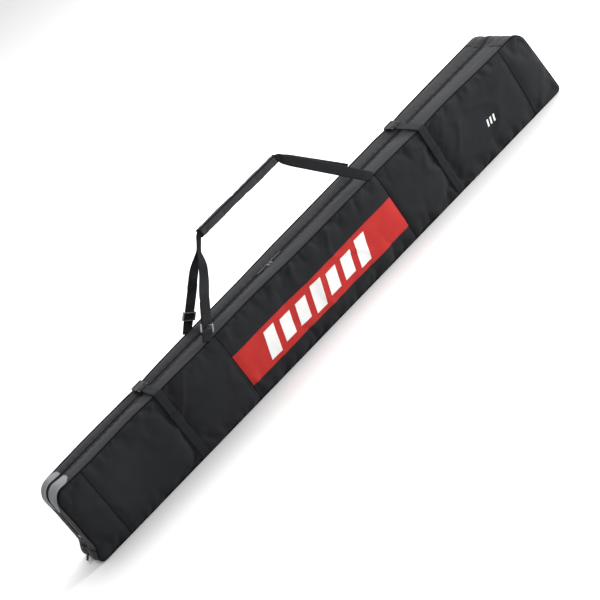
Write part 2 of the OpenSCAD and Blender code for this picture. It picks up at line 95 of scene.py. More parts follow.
# ---- The bag's main lines, from the frame's nodes ----

PANEL_INSET = 4.2 * MM
PANEL_EDGE = PANEL_INSET - 1.0 * MM
GUSSET_SIDE = 3.6 * MM
GUSSET_EDGE = GUSSET_SIDE - 0.6 * MM
rear_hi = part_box("rear_panel")[1]
HALF_L = rear_hi.x + PANEL_INSET
HEIGHT = rear_hi.z + PANEL_INSET
left_gusset_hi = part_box("left_end_gusset_rear")[1]
TAPER = 2 * (rear_hi.y - left_gusset_hi.y - GUSSET_SIDE) / (rear_hi.x - left_gusset_hi.x)
MID_DEPTH = 2 * rear_hi.y - TAPER * rear_hi.x
CORNER_R, FOOT_R = 38 * MM, 16 * MM
ZIP_SHARE = 0.1
ZIP_SAG = 6 * MM
END_PANEL_W = 95 * MM
label_lo, label_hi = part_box("red_label")
SEAM_L = label_lo.x - 2 * MM
SEAM_R = label_hi.x + 2 * MM
STRAPS = [(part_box(n)[0].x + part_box(n)[1].x) / 2 for n in ("left_strap", "right_strap")]
FRONT_SEAMS = (SEAM_L, SEAM_R, END_PANEL_W - HALF_L, HALF_L - END_PANEL_W)
TOP_END = 880 * MM
FOOT_END = 900 * MM
SLOT_Z, END_ZIP_FROM, PATCH_FROM = 40 * MM, 44 * MM, 172 * MM


def depth(x):
    return MID_DEPTH + TAPER * x


def y_wall(side, inward, x):
    return side * (depth(x) / 2 - inward)


def y_zip(x):
    return ZIP_SHARE * depth(x)


def z_zip(x):
    return HEIGHT - 3 * MM - ZIP_SAG * depth(x) / MID_DEPTH


def joined(*parts):
    """Grids of numbers, stretched to one shape, as one grid of points or of flow places."""
    return np.stack(np.broadcast_arrays(*parts), -1)


def smooth(t):
    t = np.clip(t, 0, 1)
    return t * t * (3 - 2 * t)


def bell(x, centre, width):
    return np.exp(-(((x - centre) / width) ** 2))


def cells(u, v):
    """Whole places on a grid, and how far past them."""
    u, v = np.broadcast_arrays(np.asarray(u, float), np.asarray(v, float))
    iu, iv = np.floor(u).astype(int), np.floor(v).astype(int)
    return iu, iv, u - iu, v - iv


def noise(u, v, seed):
    """Smooth noise from -1 to 1 on a lattice of fixed values, one unit apart."""
    size = 64
    table = np.random.RandomState(seed).rand(size, size) * 2 - 1
    iu, iv, fu, fv = cells(u, v)
    fu, fv = smooth(fu), smooth(fv)
    at = lambda a, b: table[(iu + a) % size, (iv + b) % size]
    return (at(0, 0) * (1 - fu) + at(1, 0) * fu) * (1 - fv) + (at(0, 1) * (1 - fu) + at(1, 1) * fu) * fv


def near_strap(x, width):
    return sum(bell(x, s, width) for s in STRAPS)


RIGHT_FLARE, LEFT_FLARE = 25 * MM, 15 * MM


def flare(x, z):
    """How far the foot of each end stands out along the bag: all the way up on the right, only low on the left."""
    right = RIGHT_FLARE * np.clip(1 - z / HEIGHT, 0, 1) ** 0.8
    left = -LEFT_FLARE * smooth((54 * MM - z) / (42 * MM))
    return np.where(x > 0, right, left) * smooth((np.abs(x) - 900 * MM) / (50 * MM))


def sway(points):
    """Lets the top edges wander a little and draws them in under the straps; the zip's line and the floor stay."""
    p = np.array(points, float)
    x, y, z = p[..., 0].copy(), p[..., 1], p[..., 2]
    p[..., 0] = x + flare(x, z)
    rise = smooth(z / HEIGHT) * (1 - smooth((z - HEIGHT - 10 * MM) / (60 * MM)))
    off = np.clip((y - y_zip(x)) / (depth(x) / 2), -1, 1)
    side, away = np.sign(off), np.abs(off)
    waist = near_strap(x, 40 * MM)
    calm = 1 - np.clip(near_strap(x, 70 * MM), 0, 1)
    wander_y = 2.2 * MM * noise(x * 6, 5 + 7 * (side > 0), 11) * calm - 1.5 * MM * waist
    wander_z = 1.8 * MM * noise(x * 5, 9 + 7 * (side > 0), 12) * calm - 2.2 * MM * waist
    p[..., 1] = y + side * smooth(away * 1.4) * rise * wander_y
    p[..., 2] = z + smooth(away * 1.4) * rise * wander_z
    return p


# ---- Materials ----


LOOKS = {}


class Shade:
    """A small helper for node materials. Patterns run in metres along a piece's own flow map, or in the frame."""

    def __init__(self, name):
        self.material = bpy.data.materials.new(name)
        self.material.use_nodes = True
        self.tree = self.material.node_tree
        self.shader = self.tree.nodes["Principled BSDF"]
        LOOKS[name] = self.material

    def node(self, kind, inputs=(), **settings):
        n = self.tree.nodes.new(kind)
        for key, value in settings.items():
            setattr(n, key, value)
        for key, value in dict(inputs).items():
            self.put(n.inputs[key], value)
        return n

    def put(self, socket, value):
        if isinstance(value, bpy.types.NodeSocket):
            self.tree.links.new(value, socket)
        else:
            socket.default_value = value

    def math(self, operation, a, b=0.0, c=0.0):
        return self.node("ShaderNodeMath", {0: a, 1: b, 2: c}, operation=operation).outputs[0]

    def add(self, a, b):
        return self.math("ADD", a, b)

    def times(self, a, b):
        return self.math("MULTIPLY", a, b)

    def flow(self):
        """Length along the piece and length across it."""
        split = self.node("ShaderNodeSeparateXYZ", {0: self.node("ShaderNodeUVMap", uv_map="flow").outputs[0]})
        return split.outputs[0], split.outputs[1]

    def place(self):
        return self.node("ShaderNodeTexCoord").outputs["Object"]

    def grain(self, scale, detail=3.0, roughness=0.55, where=None):
        inputs = {"Vector": where or self.place(), "Scale": scale, "Detail": detail, "Roughness": roughness}
        return self.node("ShaderNodeTexNoise", inputs).outputs[0]

    def wave(self, along, pitch, phase=0.0):
        return self.math("SINE", self.math("MULTIPLY_ADD", along, 2 * math.pi / pitch, phase))

    def fit(self, value, lo, hi, to_lo, to_hi):
        return self.node("ShaderNodeMapRange", {0: value, 1: lo, 2: hi, 3: to_lo, 4: to_hi}).outputs[0]

    def tint(self, share, dark, light):
        return self.node("ShaderNodeMix", {0: share, 6: (*dark, 1), 7: (*light, 1)}, data_type="RGBA").outputs[2]

    def worn_and_highlit_edges(self, lo, hi):
        """1 along raised edges, 0 elsewhere: the edges that the finishes paint lighter, partly as edge wear and partly
        as a painted highlight.
        """
        return self.fit(self.node("ShaderNodeNewGeometry").outputs["Pointiness"], lo, hi, 0, 1)

    def bump(self, height, strength, distance, under=None):
        inputs = {"Height": height, "Strength": strength, "Distance": distance}
        if under is not None:
            inputs["Normal"] = under
        return self.node("ShaderNodeBump", inputs).outputs[0]

    def finish(self, colour, rough, normal, **constants):
        self.put(self.shader.inputs["Base Color"], colour)
        self.put(self.shader.inputs["Roughness"], rough)
        self.put(self.shader.inputs["Normal"], normal)
        for key, value in constants.items():
            self.shader.inputs[key.replace("_", " ")].default_value = value


def scaled(colour, k):
    return tuple(min(1.0, c * k) for c in colour)


def woven(name, colour, pitch, depth_mm=0.12, rough=(0.72, 0.92), sheen=0.1, tone=0.28, gloss=0.16):
    """Plain-weave cloth: threads over and under, slubs, and a slow change of tone with rubbed high places."""
    s = Shade(name)
    u, v = s.flow()
    warp = s.wave(u, 2 * pitch)
    weft = s.wave(v, 2 * pitch)
    weave = s.times(warp, weft)
    thread = s.grain(2600, 2.0)
    slub = s.grain(170, 4.0)
    cloud = s.grain(7, 5.0, 0.6)
    height = s.add(s.times(weave, 0.5), s.times(thread, 0.6))
    share = s.add(s.fit(cloud, 0.3, 0.7, 0, 0.55), s.fit(slub, 0.35, 0.65, 0, 0.3))
    share = s.add(share, s.times(weave, 0.12))
    colour_out = s.tint(share, scaled(colour, 1 - tone), scaled(colour, 1 + 1.3 * tone))
    crease = s.bump(s.grain(34, 5.0, 0.6), 0.45, 2.4 * MM)
    normal = s.bump(height, 0.55, depth_mm * MM, crease)
    s.finish(colour_out, s.fit(slub, 0.3, 0.7, *rough), normal,
             Sheen_Weight=sheen, Sheen_Roughness=0.45, Specular_IOR_Level=gloss)


def ribbed(name, colour, pitch, fold, sheen=0.25):
    """Webbing: fine cross ribs that slant to and fro, with a plain rubbed edge."""
    s = Shade(name)
    u, v = s.flow()
    slant = s.math("PINGPONG", v, fold)
    ribs = s.wave(s.add(u, slant), pitch)
    rows = s.wave(v, 1.3 * MM)
    fluff = s.grain(1500, 3.0)
    rub = s.grain(60, 4.0, 0.6)
    height = s.add(s.add(s.times(ribs, 0.5), s.times(rows, 0.2)), s.times(fluff, 0.5))
    share = s.add(s.fit(ribs, -1, 1, 0, 0.4), s.fit(rub, 0.35, 0.7, 0, 0.6))
    colour_out = s.tint(share, scaled(colour, 0.6), scaled(colour, 1.6))
    s.finish(colour_out, s.fit(rub, 0.3, 0.7, 0.6, 0.85), s.bump(height, 0.7, 0.25 * MM),
             Sheen_Weight=sheen, Sheen_Roughness=0.4, Specular_IOR_Level=0.15)


def moulded(name, colour, rough=(0.32, 0.5), coarse=900, wear_and_highlight_gain=1.9):
    """Moulded plastic: a fine grain, faint scuffs, and raised edges painted lighter, partly as edge wear and partly as
    a painted highlight.
    """
    s = Shade(name)
    grit = s.grain(coarse, 2.0)
    scuff = s.grain(90, 6.0, 0.7)
    # raised edges painted lighter: partly edge wear, partly a painted highlight where edges catch the light
    share = s.add(s.times(s.worn_and_highlit_edges(0.5, 0.62), 0.7), s.fit(scuff, 0.5, 0.75, 0, 0.45))
    colour_out = s.tint(share, scaled(colour, 0.85), scaled(colour, wear_and_highlight_gain))
    s.finish(colour_out, s.fit(scuff, 0.3, 0.7, *rough), s.bump(grit, 0.25, 0.08 * MM),
             Specular_IOR_Level=0.35)


def enamelled(name, colour, bright, metallic, rough=(0.25, 0.42)):
    """Enamelled metal with its raised edges painted bright: partly worn through to bright metal along its scratches,
    partly a painted highlight.
    """
    s = Shade(name)
    scratch = s.grain(260, 5.0, 0.7)
    # raised edges painted bright metal: partly wear through the enamel, partly a painted highlight
    share = s.times(s.worn_and_highlit_edges(0.51, 0.6), s.fit(scratch, 0.3, 0.6, 0.35, 1))
    colour_out = s.tint(share, colour, bright)
    s.finish(colour_out, s.fit(scratch, 0.3, 0.7, *rough), s.bump(scratch, 0.12, 0.1 * MM),
             Metallic=metallic, Coat_Weight=0.2)


def foamed(name, colour):
    s = Shade(name)
    pores = s.node("ShaderNodeTexVoronoi", {"Vector": s.place(), "Scale": 700.0}).outputs[0]
    cloud = s.grain(20, 4.0)
    colour_out = s.tint(s.fit(cloud, 0.3, 0.7, 0, 1), scaled(colour, 0.85), colour)
    s.finish(colour_out, s.fit(cloud, 0.3, 0.7, 0.8, 0.95), s.bump(pores, 0.5, 0.4 * MM))


woven("charcoal_cloth", (0.0125, 0.0132, 0.0155), 0.7 * MM, sheen=0.04)
woven("gusset_cloth", (0.0155, 0.0163, 0.0185), 0.7 * MM, sheen=0.06, gloss=0.22)
woven("patch_cloth", (0.195, 0.197, 0.207), 0.5 * MM, 0.06, (0.55, 0.75), 0.05, 0.12)
woven("red_cloth", (0.42, 0.023, 0.02), 0.45 * MM, 0.06, (0.6, 0.8), 0.05, 0.1)
woven("white_print", (0.78, 0.78, 0.77), 0.45 * MM, 0.05, (0.55, 0.75), 0.02, 0.04)
ribbed("webbing", (0.0095, 0.0102, 0.012), 1.7 * MM, 3.2 * MM, 0.05)
woven("piping", (0.0035, 0.0035, 0.0042), 0.5 * MM, 0.1, (0.55, 0.75), 0.0, gloss=0.06)
foamed("foam", (0.6, 0.6, 0.56))
woven("lining", (0.06, 0.064, 0.072), 0.35 * MM, 0.05, (0.5, 0.7), 0.05)
ribbed("zip_tape", (0.009, 0.009, 0.0105), 1.0 * MM, 2.0 * MM, 0.03)
moulded("zip_chain", (0.012, 0.012, 0.0135), (0.25, 0.42))
enamelled("slider_metal", (0.018, 0.018, 0.02), (0.16, 0.16, 0.17), 0.4)
moulded("pull_cloth", (0.012, 0.012, 0.0135), (0.4, 0.6))
moulded("buckle_plastic", (0.0085, 0.0085, 0.01), (0.46, 0.6))
enamelled("hardware_metal", (0.02, 0.02, 0.022), (0.34, 0.34, 0.34), 0.5)
woven("grip_cloth", (0.03, 0.031, 0.034), 0.8 * MM, 0.15, sheen=0.15)
ribbed("elastic", (0.008, 0.008, 0.0095), 1.1 * MM, 0.8 * MM, 0.03)

# ---- Meshes ----

ALL_SMOOTH = math.radians(180)


def face_outwards(mesh):
    turned = bmesh.new()
    turned.from_mesh(mesh)
    bmesh.ops.recalc_face_normals(turned, faces=turned.faces)
    turned.to_mesh(mesh)
    turned.free()


def make_piece(name, points, faces, flow, slot_name, sharp=math.radians(50)):
    """A mesh piece with its flow map, facing outwards, in the finish of one of the record's slots."""
    mesh = bpy.data.meshes.new(name)
    mesh.from_pydata(np.asarray(points, float).reshape(-1, 3).tolist(), [], [list(map(int, f)) for f in faces])
    layer = mesh.uv_layers.new(name="flow")
    corner = np.empty(len(mesh.loops), int)
    mesh.loops.foreach_get("vertex_index", corner)
    layer.data.foreach_set("uv", np.asarray(flow, np.float32).reshape(-1, 2)[corner].ravel())
    face_outwards(mesh)
    mesh.shade_smooth()
    mesh.set_sharp_from_angle(angle=sharp)
    mesh.materials.append(LOOKS[slot_name])
    piece = place_object(name, mesh)
    return piece


def grid_faces(rows, columns, first=0, wrap=False):
    index = first + np.arange(rows * columns).reshape(rows, columns)
    beyond = np.roll(index, -1, 1) if wrap else index[:, 1:]
    here = index if wrap else index[:, :-1]
    return joined(here[:-1], here[1:], beyond[1:], beyond[:-1]).reshape(-1, 4)


def shell_body(outer, inner, first=0):
    """Points and faces of the closed body between two grids of points."""
    rows, columns = outer.shape[:2]
    count = rows * columns
    index = np.arange(count).reshape(rows, columns)
    rim = np.concatenate([index[0, :-1], index[:-1, -1], index[-1, :0:-1], index[:0:-1, 0]])
    ahead = np.roll(rim, -1)
    walls = np.stack([rim, ahead, ahead + count, rim + count], 1) + first
    back = grid_faces(rows, columns, first + count)[:, ::-1]
    faces = np.concatenate([grid_faces(rows, columns, first), back, walls])
    return np.concatenate([outer.reshape(-1, 3), inner.reshape(-1, 3)]), faces


def shells(name, bodies, slot_name, sharp=math.radians(50)):
    """One piece from several thin bodies, each (outer grid, inner grid, flow grid)."""
    points, faces, flows, first = [], [], [], 0
    for outer, inner, flow in bodies:
        p, f = shell_body(outer, inner, first)
        points.append(p)
        faces.extend(f.tolist())
        flows.append(np.concatenate([flow.reshape(-1, 2)] * 2))
        first += len(p)
    return make_piece(name, np.concatenate(points), faces, np.concatenate(flows), slot_name, sharp)


def tube_faces(rows, columns):
    """Faces round a tube of rings, and its two caps."""
    caps = [list(range(columns)), list(range(rows * columns - 1, (rows - 1) * columns - 1, -1))]
    return grid_faces(rows, columns, wrap=True).tolist() + caps


def loft(name, rings, flow, slot_name, loop=False, sharp=ALL_SMOOTH):
    """A closed body through rings of points, capped at both ends unless it is a loop."""
    rows, columns = rings.shape[:2]
    if loop:
        faces = (grid_faces(rows + 1, columns, wrap=True) % (rows * columns)).tolist()
    else:
        faces = tube_faces(rows, columns)
    return make_piece(name, rings, faces, flow, slot_name, sharp)


def turns(count):
    return np.linspace(0, 2 * math.pi, count, endpoint=False)


def unit(v):
    v = np.asarray(v, float)
    return v / np.maximum(np.linalg.norm(v, axis=-1, keepdims=True), 1e-12)


def walk(line, count, endpoint=True):
    """Even steps along a line: its columns at each step, and the length so far. count gives the steps for a length."""
    run = np.concatenate([[0], np.cumsum(np.linalg.norm(np.diff(line[:, :3], axis=0), axis=1))])
    at = np.linspace(0, run[-1], count(run[-1]), endpoint=endpoint)
    return np.stack([np.interp(at, run, column) for column in line.T], 1), at


def arc(corner_x, corner_z, radius, start, steps):
    """A quarter turn in X and Z from a starting angle in degrees."""
    return [(corner_x + radius * math.cos(a), corner_z + radius * math.sin(a))
            for a in np.radians(np.linspace(start, start + 90, steps))]


def spline(values, spacing):
    """A smooth line through stations, evenly spaced along its first three columns."""
    v = np.asarray(values, float)
    ends = np.concatenate([[2 * v[0] - v[1]], v, [2 * v[-1] - v[-2]]])
    fine = []
    for i in range(len(v) - 1):
        p0, p1, p2, p3 = ends[i:i + 4]
        t = np.linspace(0, 1, 24, endpoint=False)[:, None]
        fine.append(0.5 * (2 * p1 + (p2 - p0) * t + (2 * p0 - 5 * p1 + 4 * p2 - p3) * t ** 2
                           + (3 * p1 - p0 - 3 * p2 + p3) * t ** 3))
    fine = np.concatenate(fine + [v[-1:]])
    return walk(fine, lambda length: max(2, int(round(length / spacing)) + 1))


def band_section(width, thick, columns=7):
    """Outline of webbing: flat faces and rounded edges, as (across, out) pairs."""
    w, h = width / 2, thick / 2
    top = [(a * (w - 0.8 * h), h) for a in np.linspace(-1, 1, columns)]
    half = np.array(top + [(w - 0.2 * h, 0.6 * h), (w, 0), (w - 0.2 * h, -0.6 * h)])
    return np.concatenate([half, -half])


def ribbon(name, stations, thick, slot_name="webbing", spacing=4 * MM, ripple=0.15 * MM, seed=1):
    """Webbing through stations of point, across and width."""
    line, at = spline([[*p, *a, w] for p, a, w in stations], spacing)
    points, across, width = line[:, :3], unit(line[:, 3:6]), line[:, 6]
    tangent = unit(np.gradient(points, axis=0))
    out = unit(np.cross(tangent, across))
    across = unit(np.cross(out, tangent))
    points = points + out * (ripple * noise(at * 40, 0.5, seed))[:, None]
    section = np.stack([band_section(w, thick) for w in width])
    rings = points[:, None] + across[:, None] * section[..., :1] + out[:, None] * section[..., 1:]
    return loft(name, rings, joined(at[:, None], section[..., 0]), slot_name, sharp=math.radians(60))


def scatter(name, template, faces, origins, frames, slot_name, body, sharp=math.radians(40)):
    """Many copies of a small closed shape as one piece; frames are rows of x, y and z axes."""
    template = np.asarray(template, float)
    points = origins[:, None] + np.einsum("kc,ncd->nkd", template, frames)
    count = len(template)
    many = [[i * count + k for k in f] for i in range(len(origins)) for f in faces]
    flow = np.broadcast_to(template[None, :, :2], (*points.shape[:2], 2))
    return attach(make_piece(name, points, many, flow, slot_name, sharp), body)


def prism(rings):
    """A small closed shape from rings of the same count."""
    n = len(rings[0])
    points = [p for r in rings for p in r]
    faces = [[i * n + j, i * n + (j + 1) % n, (i + 1) * n + (j + 1) % n, (i + 1) * n + j]
             for i in range(len(rings) - 1) for j in range(n)]
    return points, faces + [list(range(n))[::-1], [(len(rings) - 1) * n + j for j in range(n)]]


STITCH_RINGS = ((-1.25 * MM, 0.1 * MM), (-0.8 * MM, 0.34 * MM), (0.8 * MM, 0.34 * MM), (1.25 * MM, 0.1 * MM))
STITCH = prism([[(x, r * math.cos(k * math.pi / 2.5), r * math.sin(k * math.pi / 2.5)) for k in range(5)]
                for x, r in STITCH_RINGS])


def stitches(name, lines, body, pitch=3.4 * MM, slot_name="piping"):
    """Topstitching along lines of (points, outward direction)."""
    origins, frames = [], []
    for points, outward in lines:
        line, _ = spline(points, pitch)
        x_axis = unit(np.gradient(line, axis=0))
        z_axis = np.broadcast_to(unit(outward), line.shape)
        y_axis = unit(np.cross(z_axis, x_axis))
        origins.append(line)
        frames.append(np.stack([x_axis, y_axis, np.cross(x_axis, y_axis)], 1))
    return scatter(name, *STITCH, np.concatenate(origins), np.concatenate(frames), slot_name, body)


# ---- The soft shape of the walls and the ends ----

GRID = 7.5 * MM
NX = int(round(2 * HALF_L / GRID))
NZ = int(round(HEIGHT / GRID))
NY = 14


def round_corners(x, z, inset=0.0):
    """Takes a wall's rectangle to its outline, rounder at the top than at the foot, drawn in by an inset."""
    low = z < HEIGHT / 2
    corner = np.where(low, FOOT_R, CORNER_R)
    r, cx, hi = corner - inset, HALF_L - corner, HEIGHT - corner
    u = np.clip((np.abs(x) - cx) / r, 0, 1)
    v = np.clip(np.where(low, corner - z, z - hi) / r, 0, 1)
    along = np.sign(x) * (cx + r * u * np.sqrt(1 - v * v / 2))
    down = r * v * np.sqrt(1 - u * u / 2)
    return np.where(u > 0, along, x), np.where(v > 0, np.where(low, corner - down, hi + down), z)


def shell_grid():
    """A closed mesh of the whole bag: front and rear grids and the strip round them."""
    xs, zs = np.meshgrid(np.linspace(-HALF_L, HALF_L, NX + 1), np.linspace(0, HEIGHT, NZ + 1), indexing="ij")
    x, z = round_corners(xs, zs)
    walls = [joined(x, y_wall(side, 0, x), z) for side in (-1, 1)]
    index = np.arange(x.size).reshape(x.shape)
    loop = np.concatenate([index[:-1, 0], index[-1, :-1], index[:0:-1, -1], index[0, :0:-1]])
    front, rear = (w.reshape(-1, 3) for w in walls)
    rings = [front[loop] + (rear[loop] - front[loop]) * k / NY for k in range(1, NY)]
    points = np.concatenate([front, rear, *rings])
    count = len(front)
    ids = [loop] + [2 * count + k * len(loop) + np.arange(len(loop)) for k in range(NY - 1)] + [loop + count]
    faces = grid_faces(*x.shape).tolist() + grid_faces(*x.shape, count)[:, ::-1].tolist()
    for a, b in zip(ids[:-1], ids[1:]):
        faces += np.stack([a, b, np.roll(b, -1), np.roll(a, -1)], 1).tolist()
    return points, faces, loop, count


def simulate(points, faces, pinned, pressure, grow, frames=20, bend=0.6):
    """Blows a closed cloth mesh up softly and returns where its points come to."""
    mesh = bpy.data.meshes.new("cloth_trial")
    mesh.from_pydata(points.tolist(), [], faces)
    trial = place_object("cloth_trial", mesh)
    face_outwards(mesh)
    group = trial.vertex_groups.new(name="pin")
    group.add([int(i) for i in np.nonzero(pinned)[0]], 1.0, "REPLACE")
    cloth = trial.modifiers.new("cloth", "CLOTH")
    s = cloth.settings
    s.quality = 5
    s.mass = 0.25
    s.tension_stiffness = s.compression_stiffness = 12
    s.shear_stiffness = 5
    s.bending_stiffness = bend
    s.air_damping = 3
    s.use_pressure = True
    s.uniform_pressure_force = pressure
    s.shrink_min = -grow
    s.vertex_group_mass = "pin"
    s.effector_weights.gravity = 0
    cloth.collision_settings.use_collision = False
    cloth.collision_settings.use_self_collision = False
    cloth.point_cache.frame_start, cloth.point_cache.frame_end = 1, frames
    scene = bpy.context.scene
    for f in range(1, frames + 1):
        scene.frame_set(f)
    settled = trial.evaluated_get(bpy.context.evaluated_depsgraph_get()).data
    found = np.empty(len(settled.vertices) * 3)
    settled.vertices.foreach_get("co", found)
    bpy.data.objects.remove(trial)
    bpy.data.meshes.remove(mesh)
    scene.frame_set(1)
    return found.reshape(-1, 3)


def soft_fields():
    """Outward swell of the front wall, the rear wall and the strip round them, on the grids of shell_grid."""
    points, faces, loop, count = shell_grid()
    x, y, z = points.T
    side_points = np.arange(len(points)) < 2 * count
    seam = np.zeros(len(points), bool)
    seam[loop] = seam[loop + count] = True
    strap = side_points & (np.minimum(*(np.abs(x - s) for s in STRAPS)) < 14 * MM)
    strip = ~side_points
    flat = strip & (((z > HEIGHT - MM) & (np.abs(x) < TOP_END)) | ((z < MM) & (np.abs(x) < FOOT_END)))
    zip_line = strip & (np.abs(y - y_zip(x)) < 9 * MM)
    pinned = seam | strap | flat | zip_line
    crumpled = points + np.stack([0 * x, 0.5 * MM * noise(x * 45, z * 45, 23) * ~pinned, 0 * x], 1)
    found = simulate(points=crumpled, faces=faces, pinned=pinned, pressure=1.2, grow=0.03, frames=24, bend=0.1)
    shift = found - points
    front, rear = -shift[:count, 1], shift[count:2 * count, 1]
    normal = loop_normals(points[loop][:, [0, 2]])
    ring = shift[2 * count:].reshape(NY - 1, len(loop), 3)
    ends = (ring[..., 0] * normal[:, 0] + ring[..., 2] * normal[:, 1]).ravel()
    wall = (NX + 1, NZ + 1)
    strip_field = np.zeros((NY + 1, len(loop)))
    strip_field[1:-1] = ends.reshape(NY - 1, len(loop))
    return front.reshape(wall), rear.reshape(wall), strip_field, points[loop][:, [0, 2]]


def loop_normals(xz):
    """Outward directions of a closed line round the bag, in X and Z."""
    step = np.roll(xz, -1, 0) - np.roll(xz, 1, 0)
    return unit(np.stack([step[:, 1], -step[:, 0]], 1))


def sample(field, u, v):
    """Smooth reading of a field at fractional places of its grid."""
    def weights(t):
        return np.stack([-0.5 * t + t ** 2 - 0.5 * t ** 3, 1 - 2.5 * t ** 2 + 1.5 * t ** 3,
                         0.5 * t + 2 * t ** 2 - 1.5 * t ** 3, -0.5 * t ** 2 + 0.5 * t ** 3])
    iu, iv, past_u, past_v = cells(u, v)
    wu, wv = weights(past_u), weights(past_v)
    total = 0
    for a in range(4):
        for b in range(4):
            near = field[np.clip(iu + a - 1, 0, field.shape[0] - 1), np.clip(iv + b - 1, 0, field.shape[1] - 1)]
            total = total + wu[a] * wv[b] * near
    return total


FRONT_FIELD, REAR_FIELD, STRIP_FIELD, LOOP_XZ = soft_fields()
WALL_CAP = 9 * MM
END_CAP = 14 * MM


def soft_cap(d, cap):
    """Keeps a swell below a cap without a hard edge."""
    return cap * np.tanh(d / cap)


def puckers(x, z):
    """Short gathers that fan in from the rounded upper corners and from the top seam."""
    x, z = np.asarray(x, float), np.asarray(z, float)
    away_x, away_z = HALF_L - 62 * MM - np.abs(x), z - (HEIGHT - 62 * MM)
    turn = np.arctan2(away_z, -away_x)
    reach = np.hypot(away_x, away_z)
    corner = smooth((reach - 20 * MM) / (30 * MM)) * (away_z > 0) * (away_x < 0)
    fan = 1.1 * MM * corner * np.sin(turn * 15 + 2.5 * noise(turn * 3, np.sign(x), 71))
    inside = np.clip(np.minimum(HEIGHT - z, z) / (14 * MM), 0, 1)
    edge = np.exp(-np.minimum(HEIGHT - z, z) / (16 * MM))
    seam = 0.6 * MM * edge * noise(x * 70, 0.5 + (z > HEIGHT / 2), 72)
    slack = 2.2 * MM * noise(x * 9 + z * 7, z * 13 - x * 2, 73)
    slack = slack + 1.2 * MM * noise(x * 24 - z * 12, z * 26 + x * 6, 74)
    fold = 2.5 * MM * np.exp(-(noise(x * 7 - z * 5, z * 9 + x * 3, 75) / 0.13) ** 2)
    return fan + seam + inside * (slack + fold)


def swell(side, x, z):
    """How far a wall stands out from the frame's flat face; x and z are places in the wall's rectangle."""
    u = (np.asarray(x, float) + HALF_L) / (2 * HALF_L) * NX
    v = np.asarray(z, float) / HEIGHT * NZ
    raw = soft_cap(sample(FRONT_FIELD if side < 0 else REAR_FIELD, u, v), WALL_CAP)
    calm = 1 - 0.75 * np.clip(near_strap(x, 22 * MM), 0, 1)
    raw = np.where(raw > 0, raw * calm, raw)
    raw = raw + puckers(x, z)
    if side < 0:
        for seam in FRONT_SEAMS:
            raw = raw - 2.6 * MM * bell(x, seam, 1.5 * MM) - 0.35 * raw * bell(x, seam, 14 * MM)
    return raw


def edge_roll(x, z):
    """How far the cloth turns in beside the piping."""
    to_edge = np.minimum(np.minimum(z, HEIGHT - z), HALF_L - np.abs(x)) - PANEL_INSET
    return 0.9 * MM * np.exp(-(np.maximum(to_edge, 0) / (2.8 * MM)) ** 2)


def wall_points(side, x, z, inward, inset=PANEL_EDGE):
    xr, zr = round_corners(x, z, inset)
    out = swell(side, x, z) - edge_roll(x, z)
    return sway(joined(xr, y_wall(side, inward, xr) + side * out, zr))


EDGE_STEPS = np.array([0, 0.8, 1.7, 2.8]) * MM
SEAM_STEPS = np.array([-4.4, -3.2, -2.2, -1.4, -0.7, 0, 0.7, 1.4, 2.2, 3.2, 4.4]) * MM


def columns(side, x1, x2, step):
    """Even columns along a wall, with closer ones where a seam of the front draws the cloth in."""
    even = np.linspace(x1, x2, max(3, int(round((x2 - x1) / step)) + 1))
    if side > 0:
        return even
    seams = np.array([*FRONT_SEAMS, PANEL_INSET - HALF_L, HALF_L - PANEL_INSET])
    clear = np.abs(even[:, None] - seams).min(1) > 6 * MM
    close = (seams[:, None] + SEAM_STEPS).ravel()
    close = close[(close > x1 + 0.4 * MM) & (close < x2 - 0.4 * MM)]
    return np.unique(np.concatenate([[x1], even[clear], close, [x2]]))


def wall_sheet(side, x1, x2, from_in, to_in, inset=PANEL_EDGE, step=5 * MM, z1=None, z2=None):
    """A layer of a wall between two depths, as (outer grid, inner grid, flow)."""
    z1 = inset if z1 is None else z1
    z2 = HEIGHT - inset if z2 is None else z2
    rows = np.linspace(z1, z2, max(3, int(round((z2 - z1) / step)) + 1))
    if z1 <= inset:
        rows = np.concatenate([z1 + EDGE_STEPS, rows[1:-1], z2 - EDGE_STEPS[::-1]])
    x, z = np.meshgrid(columns(side, x1, x2, step), rows, indexing="ij")
    outer, inner = (wall_points(side, x, z, inward, inset) for inward in (from_in, to_in))
    return outer, inner, joined(x, z)


def build_walls():
    cloth, gap = 1.2 * MM, 0.1 * MM
    foam_from = 2.0 * MM
    foam_to = cloth + gap + 3 * MM
    lining_to = foam_to + gap + 0.8 * MM
    end = HALF_L - PANEL_EDGE
    seam_l, seam_r = END_PANEL_W - HALF_L, HALF_L - END_PANEL_W
    spans = {
        "front_centre_panel": (SEAM_L, SEAM_R), "front_left_panel": (seam_l, SEAM_L),
        "front_right_panel": (SEAM_R, seam_r), "front_left_end_panel": (-end, seam_l),
        "front_right_end_panel": (seam_r, end),
    }
    for node, (x1, x2) in spans.items():
        piece = shells(node + "_cloth", [wall_sheet(-1, x1 + gap / 2, x2 - gap / 2, 0, cloth)], "charcoal_cloth")
        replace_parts(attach(piece, "bag"), node)
    rear = shells("rear_panel_cloth", [wall_sheet(1, -end, end, 0, cloth)], "charcoal_cloth")
    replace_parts(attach(rear, "bag"), "rear_panel")
    inset = 8 * MM
    for side, word in ((-1, "front"), (1, "rear")):
        x2 = HALF_L - inset
        top = HEIGHT - inset - (6 * MM if side > 0 else 0)
        layers = (("foam", foam_from, foam_to), ("lining", foam_to + gap, lining_to))
        for layer, a, b in layers:
            piece = shells(f"{word}_{layer}_layer", [wall_sheet(side, -x2, x2, a, b, inset, z2=top)], layer)
            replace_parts(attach(piece, "bag"), f"{word}_{layer}")


build_walls()

# ---- Gusset, patches and piping ----


